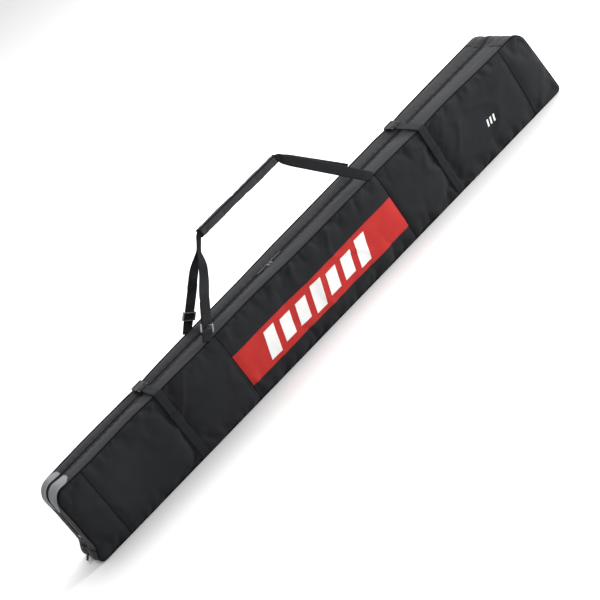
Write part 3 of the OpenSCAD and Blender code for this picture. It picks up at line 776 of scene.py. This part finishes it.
def end_line(side, z_from=None, step=4 * MM):
    """The gusset's line round one end from the bottom to the top, in X and Z, with its outward directions."""
    if z_from is None:
        path = [(FOOT_END, 0)] + arc(HALF_L - FOOT_R, FOOT_R, FOOT_R, -90, 14)
    else:
        path = [(HALF_L, z_from)]
    path += arc(HALF_L - CORNER_R, HEIGHT - CORNER_R, CORNER_R, 0, 14) + [(TOP_END, HEIGHT)]
    xz, at = walk(np.array(path), lambda length: int(length / step) + 1)
    along = unit(np.gradient(xz, axis=0))
    out = np.stack([along[:, 1], -along[:, 0]], 1)
    return xz * [side, 1], out * [side, 1], at


def end_swell(x, y, z):
    """How far the gusset's ends stand out, read from the simulated strip."""
    x, y, z = np.broadcast_arrays(x, y, z)
    gaps = (LOOP_XZ[:, 0][None] - x.reshape(-1, 1)) ** 2 + (LOOP_XZ[:, 1][None] - z.reshape(-1, 1)) ** 2
    place = np.argmin(gaps, 1).reshape(x.shape)
    share = np.clip((y - y_wall(-1, 0, x)) / depth(x), 0, 1) * NY
    field = np.concatenate([STRIP_FIELD[:, -3:], STRIP_FIELD, STRIP_FIELD[:, :3]], 1)
    kernel = np.array([1, 3, 4, 4, 3, 1]) / 16
    soft = sum(k * field[:, i:i + STRIP_FIELD.shape[1]] for i, k in enumerate(kernel))
    found = sample(soft, share, place)
    calm = smooth((np.abs(y - y_zip(x)) - 9 * MM) / (12 * MM))
    return soft_cap(found, END_CAP) * np.where(z > SLOT_Z, calm, 1)


def top_z(x, y):
    """Height of the closed top between its edge seams and the zip."""
    edge = HEIGHT - 2 * MM
    share = np.clip(np.abs(y - y_zip(x)) / np.abs(y_wall(np.sign(y - y_zip(x)), GUSSET_EDGE, x) - y_zip(x)), 0, 1)
    low = z_zip(x) + 1.5 * MM
    belly = 3.2 * MM * np.sin(np.pi * share) * (1 - 0.7 * np.clip(near_strap(x, 50 * MM), 0, 1))
    waves = 1.0 * MM * noise(x * 22, y * 30, 31) * np.sin(np.pi * share)
    return low + (edge - low) * smooth(share * 0.9 + 0.05) + belly + waves


def end_points(xz, out, y, proud):
    """Points on one end of the gusset; y is a grid, one row for each point of the line."""
    x, z = xz[:, :1] + 0 * y, xz[:, 1:] + 0 * y
    lift = end_swell(x, y, z) + proud
    settle = smooth((HALF_L - 20 * MM - np.abs(x)) / (HALF_L - 20 * MM - TOP_END)) * (z > HEIGHT / 2)
    drop = settle * (top_z(np.clip(x, -TOP_END, TOP_END), y) - HEIGHT)
    return sway(joined(x + out[:, :1] * lift, y, z + out[:, 1:] * lift + drop))


def end_sheet(side, y_lo, y_hi, from_out, to_out, z_from=None, z_to=None, columns=12):
    """A strip of the gusset between two lines that run along the bag, as (outer, inner, flow)."""
    xz, out, at = end_line(side, z_from)
    if z_to is not None:
        keep = xz[:, 1] <= z_to
        xz, out, at = xz[keep], out[keep], at[keep]
    t = np.linspace(0, 1, columns)[None]
    x = xz[:, :1]
    y = y_lo(x) + (y_hi(x) - y_lo(x)) * t
    flow = joined(at[:, None], y)
    return end_points(xz, out, y, from_out), end_points(xz, out, y, to_out), flow


def build_gusset():
    front_edge = lambda x: y_wall(-1, GUSSET_EDGE, x)
    rear_edge = lambda x: y_wall(1, GUSSET_EDGE, x)
    slot_half = 7.5 * MM
    before_zip = lambda x: y_zip(x) - slot_half
    after_zip = lambda x: y_zip(x) + slot_half
    thick = 2 * MM
    for side, word in ((-1, "left"), (1, "right")):
        foot = end_sheet(side, front_edge, rear_edge, 0, -thick, z_to=SLOT_Z, columns=24)
        front = end_sheet(side, front_edge, before_zip, 0, -thick, z_from=SLOT_Z)
        rear = end_sheet(side, after_zip, rear_edge, 0, -thick, z_from=SLOT_Z)
        for piece, node in (
            (shells(f"{word}_end_cloth_front", [foot, front], "gusset_cloth"), f"{word}_end_gusset_front"),
            (shells(f"{word}_end_cloth_rear", [rear], "gusset_cloth"), f"{word}_end_gusset_rear"),
        ):
            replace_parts(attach(piece, "bag"), node)
    patches = []
    for edge, near_zip in ((front_edge, before_zip), (rear_edge, after_zip)):
        xz, out, at = end_line(-1, PATCH_FROM, step=3 * MM)
        share = at[:, None] / at[-1]
        foot, head = np.clip(1 - share / 0.45, 0, 1), np.clip((share - 0.8) / 0.2, 0, 1)
        wide = np.sqrt(np.clip(1 - foot ** 2, 0.004, 1)) * np.sqrt(1 - 0.7 * head ** 2)
        s = math.copysign(1, edge(0) - near_zip(0))
        x = xz[:, :1]
        y_in = near_zip(x) + s * 0.5 * MM
        y = y_in + (edge(x) - s * 2 * MM - y_in) * wide * np.linspace(0, 1, 12)[None]
        flow = joined(at[:, None], y)
        patches.append((end_points(xz, out, y, 0.9 * MM), end_points(xz, out, y, 0.2 * MM), flow))
    piece = shells("corner_patch_cloth", patches, "patch_cloth")
    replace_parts(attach(piece, "bag"), "corner_patches")
    foot_x = FOOT_END - 0.1 * MM
    x, t = np.meshgrid(np.linspace(-foot_x, foot_x, 181), np.linspace(-1, 1, 15), indexing="ij")
    y = t * (depth(x) / 2 - GUSSET_EDGE)
    hollow = 0.6 * MM * (1 - t ** 2) * (0.5 + 0.5 * noise(x * 14, t * 2, 41))
    outer, inner = (joined(x, y, hollow + lift) for lift in (0, thick))
    piece = shells("bottom_cloth", [(outer, inner, joined(x, y))], "gusset_cloth")
    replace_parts(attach(piece, "bag"), "bottom_panel")


def build_piping():
    radius, inward, sides = 2 * MM, 1.2 * MM, 10
    path = []
    high = HEIGHT - CORNER_R
    corners = ((1, FOOT_R, FOOT_R), (1, CORNER_R, high), (-1, CORNER_R, high), (-1, FOOT_R, FOOT_R))
    for k, (end, corner, z) in enumerate(corners):
        path += arc(end * (HALF_L - corner), z, corner - radius, 90 * k - 90, 12)
    xz, at = walk(np.array(path + path[:1]), lambda length: int(length / (5 * MM)), endpoint=False)
    out = loop_normals(xz)
    angle = turns(sides)
    for side, word in ((-1, "front"), (1, "rear")):
        rad = radius * (1 + 0.06 * noise(at * 45, 0.5 + side, 51))[:, None]
        x = xz[:, :1] + out[:, :1] * rad * np.cos(angle)
        z = xz[:, 1:] + out[:, 1:] * rad * np.cos(angle)
        y = y_wall(side, inward, xz[:, :1]) + rad * np.sin(angle)
        flow = joined(at[:, None], radius * angle)
        piece = loft(f"{word}_piping_cord", sway(joined(x, y, z)), flow, "piping", loop=True)
        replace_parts(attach(piece, "bag"), f"{word}_piping")


build_gusset()
build_piping()

# ---- Label and its plain motif ----


def build_label():
    x1, x2, z1, z2 = label_lo.x, label_hi.x, label_lo.z, label_hi.z
    sheet = wall_sheet(-1, x1, x2, -0.9 * MM, -0.1 * MM, step=4 * MM, z1=z1, z2=z2)
    piece = shells("label_cloth", [sheet], "red_cloth")
    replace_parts(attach(piece, "bag"), "red_label")
    middle, slant = (z1 + z2) / 2, 0.32
    first, gap, tall, low = x1 + 118 * MM, 62 * MM, 78 * MM, 62 * MM
    bars = []

    def bar(x, width, height, z=middle, raised=1.45 * MM, under=0.8 * MM):
        s, t = np.meshgrid(np.linspace(-0.5, 0.5, 13), np.linspace(-0.5, 0.5, 27), indexing="ij")
        bx, bz = x + s * width + t * height * slant, z + t * height
        outer, inner = (wall_points(-1, bx, bz, -d) for d in (raised, under))
        bars.append((outer, inner, joined(bx, bz)))

    for k in range(7):
        bar(first + k * gap, 40 * MM, low if k % 3 else tall)
    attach(shells("label_motif", bars, "white_print"), "bag")
    bars.clear()
    for k in range(3):
        bar(700 * MM + k * 13 * MM, 6 * MM, 20 * MM, 100 * MM, 0.4 * MM, -0.1 * MM)
    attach(shells("side_motif", bars, "white_print"), "bag")
    return x1, x2, z1, z2


def build_seams(x1, x2, z1, z2):
    lines = []
    forward = (0, -1, 0)
    zs = np.linspace(PANEL_INSET + 3 * MM, HEIGHT - PANEL_INSET - 3 * MM, 40)
    for seam in FRONT_SEAMS:
        beside_label = seam in (SEAM_L, SEAM_R)
        for off in (4.5 * MM, 9.5 * MM) if beside_label else (-4.5 * MM,):
            x = seam + math.copysign(off, seam * off)
            lines.append((wall_points(-1, x, zs, -0.15 * MM), forward))
    stitches("panel_topstitching", lines, "bag")
    inset = 3 * MM
    xs = np.linspace(x1 + inset, x2 - inset, 120)
    lines = [(wall_points(-1, xs, z, -1.0 * MM), forward) for z in (z1 + inset, z2 - inset)]
    zs = np.linspace(z1 + inset, z2 - inset, 20)
    lines += [(wall_points(-1, x, zs, -1.0 * MM), forward) for x in (x1 + inset, x2 - inset)]
    stitches("label_stitching", lines, "bag", 3.0 * MM, "red_cloth")


build_seams(*build_label())

# ---- Top flaps and the zip ----

CHAIN_W, TAPE_W, FLAP_EDGE = 3.4 * MM, 16 * MM, 6.8 * MM
FLAP_END = TOP_END - 0.3 * MM
TOOTH_PITCH = 2.5 * MM
NOTCH = (-88 * MM, -36 * MM)
TOOTH = prism([[(0.95 * MM * k * math.cos(a), y, 1.15 * MM * k * math.sin(a)) for a in turns(6)]
               for y, k in ((0.15 * MM, 0.7), (0.7 * MM, 1.0), (2.2 * MM, 0.8), (3.3 * MM, 0.85))])


def teeth(name, xs, side, body, node=None, line=None):
    """Teeth along the top zip, or along a given line of points and outward directions."""
    if line is None:
        origins = np.stack([xs, y_zip(xs), z_zip(xs)], 1)
        x_axis = unit(joined(1.0, ZIP_SHARE * TAPER, -ZIP_SAG * TAPER / MID_DEPTH + 0 * xs))
        z_axis = np.broadcast_to([0.0, 0, 1], x_axis.shape)
    else:
        origins, x_axis, z_axis = line
    y_axis = unit(np.cross(z_axis, x_axis))
    frames = np.stack([x_axis * side, y_axis * side, np.cross(x_axis, y_axis)], 1)
    piece = scatter(name, *TOOTH, origins, frames, "zip_chain", body)
    if node:
        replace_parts(piece, node)


def build_top():
    for side, word in ((-1, "front"), (1, "rear")):
        body = f"{word}_flap"
        across = np.concatenate([[0, 0.014, 0.03], np.linspace(0.06, 0.94, 20), [0.965, 0.985, 1]])
        x, t = np.meshgrid(np.linspace(-FLAP_END, FLAP_END, 353), across, indexing="ij")
        y_out = y_wall(side, GUSSET_EDGE, x)
        y_in = y_zip(x) + side * FLAP_EDGE
        y = y_out + (y_in - y_out) * t
        pucker = 0.5 * MM * np.sin(x * 2 * np.pi / (23 * MM) + 3 * noise(x * 10, side, 61)) * smooth((t - 0.55) / 0.4)
        z = top_z(x, y) - 1.6 * MM * bell(t, 0, 0.03) + pucker * (1 - smooth((t - 0.96) / 0.04))
        thick = 1.9 * MM - 0.9 * MM * smooth((t - 0.75) / 0.2)
        fold = 0.35 * MM * smooth((t - 0.94) / 0.06)
        upper, lower = joined(x, y, z - fold), joined(x, y, z - thick + fold)
        piece = shells(f"{word}_flap_cloth", [(sway(upper), sway(lower), joined(x, y))], "gusset_cloth")
        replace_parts(piece, body)
        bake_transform(piece)
        spans = [(-FLAP_END, FLAP_END)] if side < 0 else [(-FLAP_END, NOTCH[0]), (NOTCH[1], FLAP_END), NOTCH]
        tapes = []
        for a, b in spans:
            near = 7.6 * MM if (a, b) == NOTCH else CHAIN_W - 0.6 * MM
            x, t = np.meshgrid(np.linspace(a, b, 351), np.linspace(0, 1, 4), indexing="ij")
            y = y_zip(x) + side * (near + (TAPE_W - near) * t)
            z = z_zip(x) + 0.12 * MM * noise(x * 60, t, 62)
            upper, lower = (joined(x, y, z + half) for half in (0.4 * MM, -0.4 * MM))
            tapes.append((upper, lower, joined(x, y)))
        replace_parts(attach(shells(f"{word}_tape_cloth", tapes, "zip_tape"), body), f"{word}_zip_tape")
        xs = np.arange(-876 * MM + (0.5 if side < 0 else 0) * TOOTH_PITCH, 876 * MM, TOOTH_PITCH)
        if side > 0:
            xs = xs[(xs < NOTCH[0]) | (xs > NOTCH[1])]
        teeth(f"{word}_zip_teeth", xs, side, body, f"{word}_zip_chain")
        lines = []
        for off in (2.4 * MM, 7.0 * MM):
            x = np.linspace(-FLAP_END + 4 * MM, FLAP_END - 4 * MM, 353)
            y = y_zip(x) + side * (FLAP_EDGE + off)
            lines.append((sway(joined(x, y, top_z(x, y) + 0.1 * MM)), (0, 0, 1)))
        stitches(f"{word}_flap_stitching", lines, body, 3.6 * MM)


def build_end_zips():
    for side, word in ((-1, "left"), (1, "right")):
        tapes = [end_sheet(side, lambda x, s=s: y_zip(x) + s * 2.8 * MM, lambda x, s=s: y_zip(x) + s * 14 * MM,
                           -2.2 * MM, -3 * MM, z_from=END_ZIP_FROM, columns=4) for s in (-1, 1)]
        tape = shells(f"{word}_end_zip_tape", tapes, "zip_tape")
        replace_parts(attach(tape, "bag"), f"{word}_end_zip")
        xz, out, at = end_line(side, END_ZIP_FROM, step=TOOTH_PITCH)
        for s in (-1, 1):
            y = y_zip(xz[:, :1])
            points = end_points(xz, out, y, -2.6 * MM)[:, 0]
            x_axis = unit(np.gradient(points, axis=0))
            z_axis = np.stack([out[:, 0], 0 * out[:, 0], out[:, 1]], 1)
            shift = x_axis * (TOOTH_PITCH / 2 if s > 0 else 0)
            line = (points + shift, x_axis, z_axis)
            teeth(f"{word}_end_teeth_{'a' if s < 0 else 'b'}", None, s, "bag", line=line)


build_top()
build_end_zips()

# ---- Compression straps ----

STRAP_W, STRAP_T = 25 * MM, 1.5 * MM
STRAP_Z = HEIGHT + 1.3 * MM


def mouth_y(x):
    return y_wall(1, 41 * MM, x)


def face_points(side, x, heights, offsets):
    """Strap stations down a face, a little off the cloth."""
    stations = []
    for z, off in zip(heights, offsets):
        clear = max(off * MM, float(swell(side, x, z)) + 1.1 * MM)
        stations.append(((x, y_wall(side, -clear, x), z), (1, side * TAPER / 2, 0), STRAP_W))
    return stations


def strap_stations(side, x, y_end):
    heights = [4 * MM, 20 * MM, 50 * MM, 90 * MM, 120 * MM, 160 * MM, 200 * MM, 226 * MM]
    stations = face_points(side, x, heights, [1.3, 2.2, 2.6, 3.0, 3.2, 3.1, 2.9, 2.7])
    for inward, z in ((-2.6, HEIGHT - 8 * MM), (-2.0, HEIGHT - 1.4 * MM), (-0.6, HEIGHT + 0.6 * MM), (2.5, STRAP_Z)):
        stations.append(((x, y_wall(side, inward * MM, x), z), (1, side * TAPER / 2, 0), STRAP_W))
    stations.append(((x, (y_wall(side, 2.5 * MM, x) + y_end) / 2, STRAP_Z - 0.2 * MM), (1, 0, 0), STRAP_W))
    stations.append(((x, y_end, STRAP_Z), (1, 0, 0), STRAP_W))
    return stations


def build_straps():
    for x, word in zip(STRAPS, ("left", "right")):
        front = ribbon(f"{word}_strap_webbing", strap_stations(-1, x, mouth_y(x) - 5 * MM), STRAP_T)
        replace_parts(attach(front, "bag"), f"{word}_strap")
        rear = ribbon(f"{word}_rear_strap_webbing", strap_stations(1, x, mouth_y(x) + 24.5 * MM), STRAP_T, seed=2)
        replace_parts(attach(rear, "bag"), f"{word}_rear_strap")
        wide, m = (1, 0, 0), mouth_y(x)
        over_bar = ((-13.4, 4.6), (-13.7, 7.2), (-15.4, 8.7), (-17.6, 8.8),
                    (-19.6, 7.4), (-23, 5.2), (-32, 4.2), (-44, 3.9))
        tail = [((x, m + a * MM, HEIGHT + b * MM), wide, STRAP_W) for a, b in over_bar]
        for inward, z in ((14, 3.8), (5, 3.3), (-1.8, 2.2), (-4.2, -0.6)):
            tail.append(((x, y_wall(-1, inward * MM, x), HEIGHT + z * MM), wide, STRAP_W))
        tail += face_points(-1, x, [232 * MM, 200 * MM, 160 * MM, 140 * MM, 128 * MM], [4.6, 5.0, 5.1, 5.0, 5.2])
        piece = ribbon(f"{word}_tail_webbing", tail, STRAP_T, spacing=2.5 * MM, seed=3)
        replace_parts(piece, f"{word}_strap_tail")
        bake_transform(piece)
    build_keepers()


def build_keepers():
    """Elastic loops round the straps and their tails: tubes with an outer and an inner face."""
    half_w, near, far, r = 14.6 * MM, 0.7 * MM, 7.1 * MM, 2.2 * MM
    corners = ((half_w - r, far - r), (r - half_w, far - r), (r - half_w, near + r), (half_w - r, near + r))
    ring = np.concatenate([arc(x, y, r, 90 * k, 5) for k, (x, y) in enumerate(corners)])
    away = unit(ring - [0, (near + far) / 2])
    levels = np.array([150.0, 150.4, 154, 158, 162, 165.6, 166])[:, None] * MM
    pull = np.array([1.0, 0.4, 0, 0, 0, 0.4, 1.0])[:, None, None] * 0.35 * MM
    rows, n = len(levels), len(ring)
    count = rows * n
    flow = joined(np.arange(n) * 3 * MM, levels).reshape(-1, 2)
    points, faces, first = [], [], 0
    for x in STRAPS:
        for tube in (ring - away * pull, ring - away * 1.1 * MM + 0 * pull):
            y = y_wall(-1, 0, x + tube[..., 0]) - tube[..., 1]
            points.append(joined(x + tube[..., 0], y, levels).reshape(-1, 3))
        faces += grid_faces(rows, n, first, wrap=True).tolist()
        faces += grid_faces(rows, n, first + count, wrap=True)[:, ::-1].tolist()
        for row in (0, rows - 1):
            a = first + row * n + np.arange(n)
            faces += joined(a, np.roll(a, -1), np.roll(a, -1) + count, a + count).tolist()
        first += 2 * count
    flows = np.concatenate([flow] * len(points))
    piece = make_piece("strap_keeper_bands", np.concatenate(points), faces, flows, "elastic", math.radians(60))
    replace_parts(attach(piece, "bag"), "strap_keepers")


build_straps()

# ---- Carrying handle ----

HANDLE_W, HANDLE_T = 30 * MM, 2 * MM
TOP_MM = HEIGHT / MM
grip_lo, grip_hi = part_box("grip_wrap")
GRIP_X, GRIP_Z = (grip_lo.x + grip_hi.x) / 2, (grip_lo.z + grip_hi.z) / 2
GRIP_END, GRIP_Y = (grip_hi.x - grip_lo.x) / 2 + MM, 1.6 * MM
ANCHORS = {
    "front_right": (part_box("handle_anchor_front_right")[1].x - HANDLE_W / 2, -1),
    "rear_right": (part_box("handle_anchor_rear_right")[1].x - HANDLE_W / 2, 1),
    "front_left": (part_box("handle_tab")[0].x + HANDLE_W / 2, -1),
    "rear_left": (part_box("handle_anchor_rear_left")[0].x + HANDLE_W / 2, 1),
}


def anchor_point(a):
    return np.array([a[0], y_wall(a[1], 1.2 * MM, a[0]), HEIGHT + 0.6 * MM])


def grip_point(a):
    return np.array([GRIP_X + math.copysign(GRIP_END, a[0]), a[1] * GRIP_Y, GRIP_Z])


def handle_point(a, z):
    p, q = anchor_point(a), grip_point(a)
    return p + (q - p) * (z - p[2]) / (q[2] - p[2])


def across_at(a, degrees):
    t = math.radians(degrees)
    return np.array([math.cos(t), 0, math.copysign(1, a[0]) * math.sin(t)])


def station(a, z, degrees, width=HANDLE_W, out=0.0):
    """A place on one end of the handle, moved off the line of the webbing by out."""
    run = unit(grip_point(a) - anchor_point(a))
    normal = unit(np.cross(run, across_at(a, degrees)))
    if normal[1] < 0:
        normal = -normal
    return (handle_point(a, z) + normal * out, across_at(a, degrees), width)


def station_rows(a, rows):
    """Stations from rows of height, turn in degrees and distance off the line; lengths in millimetres."""
    return [station(a, z * MM, degrees, out=out * MM) for z, degrees, out in rows]


def inside_grip(a):
    """Where a band runs on inside the wrap, closer together near its end so that the line turns in evenly."""
    inward = -math.copysign(1, a[0])
    return [(grip_point(a) + np.array([inward * d * MM, 0, 0]), across_at(a, 90), 18 * MM) for d in (7, 19, 50, 110)]


def neck_stations(a):
    """The left bands: bowed apart above the ring and the adjuster, then gathered into a narrow neck at the grip."""
    middle = lambda z: (handle_point(ANCHORS["front_left"], z) + handle_point(ANCHORS["rear_left"], z)) / 2
    stations = [station(a, 332 * MM, 35)]
    for z, apart, bow, degrees, width in ((356, 16, 11, 36, 29), (382, 11, 9, 40, 27), (401, 5.5, 4.5, 50, 19),
                                          (414, 2.2, 0, 62, 14), (430, 1.6, 0, 74, 13)):
        shift = np.array([-a[1] * bow, a[1] * apart, 0]) * MM
        stations.append((middle(z * MM) + shift, across_at(a, degrees), width * MM))
    end = grip_point(a) + np.array([-4, 0, -4]) * MM
    return stations + [(end, across_at(a, 84), 15 * MM)] + inside_grip(a)


def upper_stations(a):
    if a[0] < 0:
        return neck_stations(a)
    bend = grip_point(a) + np.array([7, a[1], -4]) * MM
    straight = station_rows(a, ((345, 35, 0), (385, 37, 0), (412, 42, 0)))
    return straight + [station(a, 433 * MM, 58, 26 * MM), (bend, across_at(a, 78), 21 * MM)] + inside_grip(a)


def lower_stations(a):
    return station_rows(a, ((TOP_MM - 2.5, 0, 0), (TOP_MM + 8, 8, 0), (262, 26, 0), (300, 34, 0)))


def ring_stations(a):
    """The folded end round the ring's upper bar, up to the plain webbing."""
    return station_rows(a, ((316, 35, 1.7), (292, 35, 2), (279, 34, 2.9), (272.5, 34, 1.8), (271.5, 34, -1),
                            (279, 34, -2.6), (292, 35, -1), (318, 35, -0.6)))


def build_handle():
    ends = {"front": ("front_right", "front_left"), "rear": ("rear_right", "rear_left")}
    for word, (right, left) in ends.items():
        r, l = ANCHORS[right], ANCHORS[left]
        low_left = ring_stations(l) if word == "front" else lower_stations(l)
        left_side = low_left + upper_stations(l)
        flipped = [(p, -np.asarray(a), w) for p, a, w in left_side[::-1]]
        stations = lower_stations(r) + upper_stations(r) + flipped
        piece = ribbon(f"{word}_handle_band", stations, HANDLE_T, ripple=0.25 * MM, seed=4)
        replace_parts(piece, f"{word}_handle_webbing", f"handle_anchor_{right}", f"handle_anchor_{left}")
        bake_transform(piece)
    a = ANCHORS["front_left"]
    tab = station_rows(a, ((TOP_MM - 2.5, 0, 1.6), (250, 15, 1.6), (257, 28, 2.6), (262.5, 30, 1.6), (262.5, 30, -1.6),
                           (257, 28, -2.6), (250, 15, -1.2), (TOP_MM - 1, 0, -1.2)))
    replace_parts(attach(ribbon("handle_tab_webbing", tab, 1.6 * MM, spacing=2.5 * MM), "bag"), "handle_tab")
    build_grip()


def build_grip():
    """Padded wrap with bound long edges, blown up softly between its bindings."""
    half, n_long, n_round = GRIP_END + 0.5 * MM, 64, 32
    x = np.linspace(-half, half, n_long)
    square = 0.62
    cy, cz = (np.sign(c) * np.abs(c) ** square for c in (np.cos(turns(n_round)), np.sin(turns(n_round))))
    taper = 1 - 0.16 * bell(np.abs(x), half, 9 * MM)
    y = 9.6 * MM * cy[None] * taper[:, None]
    z = GRIP_Z + 13.6 * MM * cz[None] * taper[:, None]
    rings = joined(GRIP_X + x[:, None], y, z)
    bound = (np.arange(n_round) % 8 == 4) & (np.arange(n_round) % 16 > 7)
    pinned = np.zeros((n_long, n_round), bool)
    pinned[[0, 1, -2, -1]] = True
    pinned[:, bound] = True
    faces = tube_faces(n_long, n_round)
    found = simulate(rings.reshape(-1, 3), faces, pinned.ravel(), 4.0, 0.008, 14).reshape(rings.shape)
    shift = found - rings
    length = np.linalg.norm(shift, axis=-1, keepdims=True)
    rings = rings + shift * np.minimum(1, 2.5 * MM / np.maximum(length, 1e-9))
    around = 72 * MM * np.arange(n_round) / n_round
    flow = joined(x[:, None], around)
    grip = loft("grip_padding", rings, flow, "grip_cloth")
    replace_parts(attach(grip, "handle"), "grip_wrap")
    subdivide = grip.modifiers.new("fine", "SUBSURF")
    subdivide.levels = subdivide.render_levels = 1
    for j, word in zip(np.nonzero(bound)[0], ("lower", "upper")):
        edge = rings[:, j] + unit(np.array([0, rings[0, j, 1], rings[0, j, 2] - GRIP_Z])) * 0.7 * MM
        lean = 0.5 if word == "upper" else -0.5
        stations = [(p, (0, lean, 0.86), 6 * MM) for p in edge[::5]] + [(edge[-1], (0, 0.5, 0.86), 6 * MM)]
        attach(ribbon(f"grip_binding_{word}", stations, 1.6 * MM, "piping"), "handle")
    for s, word in ((-1, "left"), (1, "right")):
        places = GRIP_X + s * np.linspace(half - 1 * MM, half - 8 * MM, 6)
        puff = np.array([0.2, 0.8, 1.0, 1.0, 0.8, 0.2]) * 0.9 * MM
        section = np.stack([rings[1 if s < 0 else -2] for _ in places])
        centre = np.array([0, 0, GRIP_Z])
        flat = section - centre
        flat[..., 0] = 0
        band = section + unit(flat) * puff[:, None, None]
        band[..., 0] = places[:, None]
        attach(loft(f"grip_end_binding_{word}", band, joined(around, places[:, None]), "piping"), "handle")


build_handle()

# ---- Tab at the lower left corner ----


def build_corner_tab():
    y = y_zip(-HALF_L)
    route = ((0.4, 24.5), (-1.6, 19), (-6, 13), (-12, 6.5))
    stations = [(tuple(sway([-HALF_L + a * MM, y, b * MM])), (0, 1, 0), 12 * MM) for a, b in route]
    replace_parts(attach(ribbon("corner_tab_webbing", stations, 1.4 * MM, spacing=2 * MM), "bag"), "corner_tab")


build_corner_tab()

# ---- Finishes of the hardware that stays as CAD ----

for row in frame["record"]["subparts"]:
    cad_piece = frame["nodes"][row["node"]]
    cad_piece.data.materials.clear()
    cad_piece.data.materials.append(LOOKS[row["material_slot"]])

# ---- Floor and light ----


def build_floor():
    mesh = bpy.data.meshes.new("floor")
    reach = 14
    corners = [(-reach, -reach, 0), (reach, -reach, 0), (reach, reach, 0), (-reach, reach, 0)]
    mesh.from_pydata(corners, [], [(0, 1, 2, 3)])
    floor = place_object("floor", mesh)
    floor.location.z = -0.4 * MM
    s = Shade("floor_paint")
    cloud = s.grain(3, 3.0)
    colour = s.tint(cloud, (0.9, 0.9, 0.9), (0.93, 0.93, 0.93))
    s.finish(colour, 0.9, s.bump(s.grain(60), 0.02, MM))
    mesh.materials.append(s.material)


def area_light(name, place, size, power, target=(0, 0, 0.1)):
    light = bpy.data.lights.new(name, "AREA")
    light.shape = "RECTANGLE"
    light.size, light.size_y = size
    light.energy = power
    lamp = place_object(name, light)
    lamp.location = place
    lamp.rotation_euler = (Vector(target) - Vector(place)).to_track_quat("-Z", "Y").to_euler()


def build_light():
    world = bpy.data.worlds.new("studio")
    world.use_nodes = True
    world.node_tree.nodes["Background"].inputs[0].default_value = (1, 1, 1, 1)
    world.node_tree.nodes["Background"].inputs[1].default_value = 0.68
    bpy.context.scene.world = world
    area_light("overhead", (1.0, 1.6, 3.6), (4.0, 3.0), 160)
    area_light("right_key", (2.6, 0.7, 1.5), (1.0, 1.0), 14)
    area_light("front_rake", (5.0, -1.8, 1.4), (1.0, 1.0), 330)
    bpy.context.scene.view_settings.view_transform = "Standard"


build_floor()
build_light()
